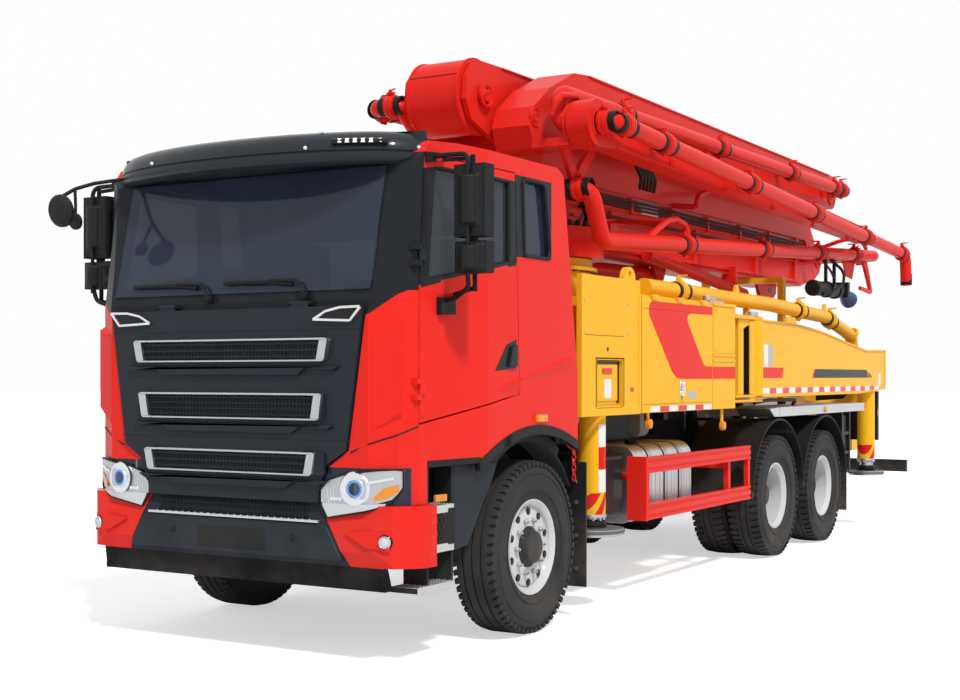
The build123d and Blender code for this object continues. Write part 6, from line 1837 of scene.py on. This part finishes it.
    def below(self, name, side):
        """Side lamps, platform edge, ladder, rails, mudguard lips, flap bolts and chain."""
        lamps = Shape()
        stalks = Shape()
        for x, z, rise in ((-1.74, 1.262, 1.35), (-3.20, 1.205, 1.35)):
            lamps.lathe(at(x, side * 1.205, z), (0, side, 0), [(0.0, 0.036), (0.010, 0.038), (0.022, 0.034),
                        (0.026, 0.020), (0.027, 0.0)], 24)
            stalks.rod(at(x, side * 1.200, z), at(x, side * 1.200, rise), 0.013, 10)
            stalks.lathe(at(x, side * 1.196, z), (0, side, 0),
                         [(-0.008, 0.030), (0.009, 0.040), (0.009, 0.0)], 20)
        lamps.lathe(at(-5.87, side * 1.2245, 1.285), (0, side, 0),
                    [(0.0, 0.030), (0.010, 0.030), (0.018, 0.022), (0.019, 0.0)], 24)
        lamps.box(-8.052, -7.998, side * 1.148, side * 1.154, 1.165, 1.235)
        lamps.piece(f"side_lamps_{name}", "truck", "lamp_amber")
        stalks.piece(f"lamp_stalks_{name}", "truck", "body_yellow")
        edge = Shape()
        edge.box(-7.205, -4.555, side * 1.223, side * 1.231, 1.247, 1.262)
        edge.box(-7.205, -4.555, side * 1.223, side * 1.231, 1.310, 1.328)
        edge.slab_y([(-4.555, 1.245), (-4.555, 1.326), (-4.30, 1.320), (-4.42, 1.247)], side * 0.90,
                    side * 1.222)
        heads = row_of_heads(60, (-0.043, 0, 0), 0.007, 0.006, 6)
        for y in (0.80, 0.90, 1.00, 1.10, 1.18):
            edge.add_mesh(heads, at(-4.60, side * y, 1.327))
        edge.piece(f"platform_edge_{name}", "truck", "bright_aluminium", 0.002)
        frames = Shape()
        for x in (-6.76, -7.02):
            frames.box(x - 0.018, x + 0.018, side * 1.09, side * 1.13, 0.60, 1.25)
        for z in (0.60, 0.80, 1.00):
            frames.box(-7.02, -6.76, side * 1.095, side * 1.125, z, z + 0.030)
        frames.box(-6.98, -6.80, side * 1.10, side * 1.104, 0.62, 1.20)
        frames.pipe([at(-4.15, side * 1.13, 1.375), at(-4.50, side * 1.14, 1.395),
                     at(-5.30, side * 1.12, 1.385), at(-5.42, side * 1.05, 1.34)], 0.017, 0.2, 10)
        frames.piece(f"rear_ladder_{name}", "truck", "frame_black", 0.003)
        rails = Shape()
        for z0, z1 in ((0.565, 0.680), (0.905, 1.020)):
            middle = (z0 + z1) / 2
            for a, b in ((z0, z0 + 0.020), (z1 - 0.020, z1), (middle - 0.018, middle + 0.018)):
                rails.box(-3.788, -1.672, side * 1.222, side * 1.235, a, b)
        rails.box(-1.672, -1.642, side * 1.08, side * 1.236, 0.560, 1.026)
        rails.piece(f"rail_folds_{name}", "truck", "cab_red", 0.003)
        guards = Shape()
        for number, x in REAR_AXLES:
            ring = []
            for i in range(25):
                t = math.radians(8 + 164 * i / 24)
                ring.append(at(x + 0.682 * math.cos(t), side * 1.238, ARCH_Z + 0.682 * math.sin(t)))
            guards.pipe(ring, 0.0075, 0.02, 8, 1)
        guards.piece(f"mudguard_lips_{name}", "truck", "trim_black")
        flap = Shape()
        heads = row_of_heads(3, (0, 0, 0.22), 0.014, 0.010, 8, (0, math.radians(90), 0))
        for y in (0.98, 1.17):
            flap.add_mesh(heads, at(-0.657, side * y, 0.33))
        flap.piece(f"flap_bolts_{name}", "truck", "cast_metal")
        chain = Shape()
        links = chain_links(8, 0.034, 0.0045)
        chain.add_mesh(links, at(-0.620, side * 1.17, 1.175))
        chain.piece(f"chain_{name}", "truck", "reflector_red")
        hook = Shape()
        hook.pipe([at(-0.620, side * 1.17, 1.175), at(-0.628, side * 1.17, 1.23),
                   at(-0.640, side * 1.17, 1.26), at(-0.70, side * 1.17, 1.345)], 0.006, 0.02, 8)
        hook.rod(at(-0.620, side * 1.17, 0.94), at(-0.665, side * 1.17, 0.90), 0.006, 8)
        hook.piece(f"chain_hook_{name}", "truck", "satin_steel")

    def legs(self, name, side):
        """Paint, collars and feet of the outrigger legs."""
        dress(leg_paint(f"front_leg_{name}", 1.30, 0.64, *FRONT_LEG), f"front_beam_{name}")
        dress(leg_paint(f"rear_leg_{name}", 0.0, 0.70, *REAR_LEG), f"rear_beam_{name}")
        for body, (x, y), radius, z, pad in ((f"front_jack_{name}", FRONT_LEG, 0.102, 0.565, 0.232),
                                             (f"rear_jack_{name}", REAR_LEG, 0.094, 0.590, 0.190)):
            Shape().lathe(at(x, side * y, z), UP, [(0.0, radius * 1.06), (0.014, radius * 1.06),
                                                   (0.016, radius * 0.9), (0.022, radius), (0.050, radius),
                                                   (0.056, radius * 0.80), (0.060, 0.0725)], 40).piece(
                f"foot_collar_{body}", body, "hose_black", 0.002)
            Shape().lathe(at(x, side * y, z), UP, [(-0.030, pad - 0.02), (-0.028, pad), (-0.010, pad),
                                                   (0.002, pad - 0.014), (0.004, pad * 0.6), (0.004, 0.0)],
                          56).piece(f"foot_dish_{body}", body, "cast_metal", 0.002, slot="steel")
        for body, (x, y), z, radius in ((f"front_beam_{name}", FRONT_LEG, 0.640, 0.100),
                                        (f"rear_beam_{name}", REAR_LEG, 0.700, 0.092)):
            ring = Shape()
            heads = ring_of_heads(10, radius * 0.86, 0.010, 0.022)
            ring.add_mesh(heads, at(x, side * y, z - 0.009))
            ring.lathe(at(x, side * y, z), UP, [(0.0, radius), (0.0, radius + 0.005), (0.022, radius + 0.005),
                       (0.022, radius)], 40, ring=True)
            ring.piece(f"leg_collar_{body}", body, "satin_steel", 0.001)

    def tank(self):
        """Straps, ribs, seals and caps of the tanks."""
        def loop(y0, y1, z0, z1, r):
            points = []
            for cy, cz, start in ((y1 - r, z1 - r, 0), (y0 + r, z1 - r, 90), (y0 + r, z0 + r, 180),
                                  (y1 - r, z0 + r, 270)):
                for i in range(7):
                    t = math.radians(start + 15 * i)
                    points.append((cy + r * math.cos(t), cz + r * math.sin(t)))
            return points
        places = (-2.08, -2.38, -2.66)
        straps = Shape()
        for x in places:
            straps.slab_x(loop(0.514, 1.068, 0.514, 1.096, 0.116), x - 0.024, x + 0.024)
        straps.piece("tank_straps", "truck", "satin_steel", 0.002)
        lines = Shape()
        for x in (-1.93, -2.00, -2.20, -2.28, -2.50, -2.56, -2.74, -2.80):
            lines.slab_x(loop(0.517, 1.0645, 0.517, 1.0925, 0.1125), x - 0.008, x + 0.008)
        for x in (-1.812, -2.873):
            lines.slab_x(loop(0.516, 1.0655, 0.516, 1.0935, 0.113), x - 0.010, x + 0.010)
        lines.piece("tank_ribs", "truck", "bright_aluminium", 0.003)
        seals = Shape()
        for x in places:
            for dx in (-0.028, 0.028):
                seals.slab_x(loop(0.516, 1.0655, 0.516, 1.0935, 0.113), x + dx - 0.004, x + dx + 0.004)
        seals.piece("tank_seals", "truck", "hose_black")
        cap = Shape()
        cap.lathe(at(-1.53, 0.93, 1.045), (0, 0.35, 0.94),
                  [(0.0, 0.060), (0.012, 0.066), (0.034, 0.064), (0.040, 0.052), (0.042, 0.0)], 32)
        cap.lathe(at(-2.10, 0.90, 1.085), (0, 0.25, 0.97),
                  [(0.0, 0.052), (0.012, 0.056), (0.034, 0.054), (0.040, 0.044), (0.042, 0.0)], 32)
        cap.piece("tank_caps", "truck", "hose_black", 0.002)
        Shape().lathe(at(-1.53, 0.93, 1.045), (0, 0.35, 0.94), [(0.040, 0.034), (0.047, 0.030), (0.049, 0.0)],
                      24).piece("urea_cap", "truck", "funnel_blue")

    def deck(self):
        """Pipe eyes, cabinet-top gear and the valve under the cabinet."""
        eyes = Shape()
        for x, z in ((-4.24, 2.352), (-6.78, 2.290)):
            eyes.slab_y([(x - 0.06, z - 0.02), (x + 0.06, z - 0.02), (x + 0.025, z + 0.055), (x, z + 0.070),
                         (x - 0.025, z + 0.055)], 0.915, 0.945)
        eyes.lathe(at(-7.70, 0.93, 2.075), (-0.55, 0, -0.83), [(-0.02, 0.066), (-0.02, 0.092), (0.02, 0.092),
                   (0.02, 0.066)], 32, ring=True)
        eyes.piece("deck_line_eyes", "truck", "body_yellow", 0.002)
        gear = Shape()
        gear.box(-3.32, -3.00, 1.06, 1.18, 2.196, 2.225)
        gear.rod(at(-3.08, 1.12, 2.22), at(-3.08, 1.12, 2.262), 0.035, 16)
        gear.rod(at(-3.24, 1.12, 2.236), at(-3.14, 1.12, 2.236), 0.022, 12)
        gear.piece("cabinet_top_gear", "truck", "satin_steel", 0.003)
        hanger = Shape()
        hanger.box(-1.86, -1.78, 1.02, 1.12, 1.200, 1.345)
        hanger.rod(at(-1.95, 1.07, 1.21), at(-1.80, 1.07, 1.21), 0.045, 16)
        hanger.piece("under_cabinet_valve", "truck", "cast_metal", 0.004)


# ---------------------------------------------------------------- add-on
class PUMP_PT_looks(bpy.types.Panel):
    """Lists every step"""
    bl_idname = "PUMP_PT_looks"
    bl_label = "Pump Truck"
    bl_space_type = "VIEW_3D"
    bl_region_type = "UI"
    bl_category = "Pump Truck"

    def draw(self, context):
        for step in STEPS:
            self.layout.operator(step.bl_idname)


STEPS = (PUMP_OT_paint_frame, PUMP_OT_stage, PUMP_OT_wheels, PUMP_OT_cab_skin, PUMP_OT_front, PUMP_OT_steps,
         PUMP_OT_couplings, PUMP_OT_boom, PUMP_OT_markings, PUMP_OT_body)
GROUPS = (PaintColours, StageSizes, WheelSizes)


def register():
    for item in GROUPS + STEPS + (PUMP_PT_looks,):
        bpy.utils.register_class(item)
    bpy.types.Scene.pump_paint = bpy.props.PointerProperty(type=PaintColours)
    bpy.types.Scene.pump_stage = bpy.props.PointerProperty(type=StageSizes)
    bpy.types.Scene.pump_wheels = bpy.props.PointerProperty(type=WheelSizes)


def unregister():
    del bpy.types.Scene.pump_paint
    del bpy.types.Scene.pump_stage
    del bpy.types.Scene.pump_wheels
    for item in reversed(GROUPS + STEPS + (PUMP_PT_looks,)):
        bpy.utils.unregister_class(item)


def main():
    register()
    for step in STEPS:
        group, name = step.bl_idname.split(".")
        getattr(getattr(bpy.ops, group), name)()


if __name__ == "__main__":
    main()
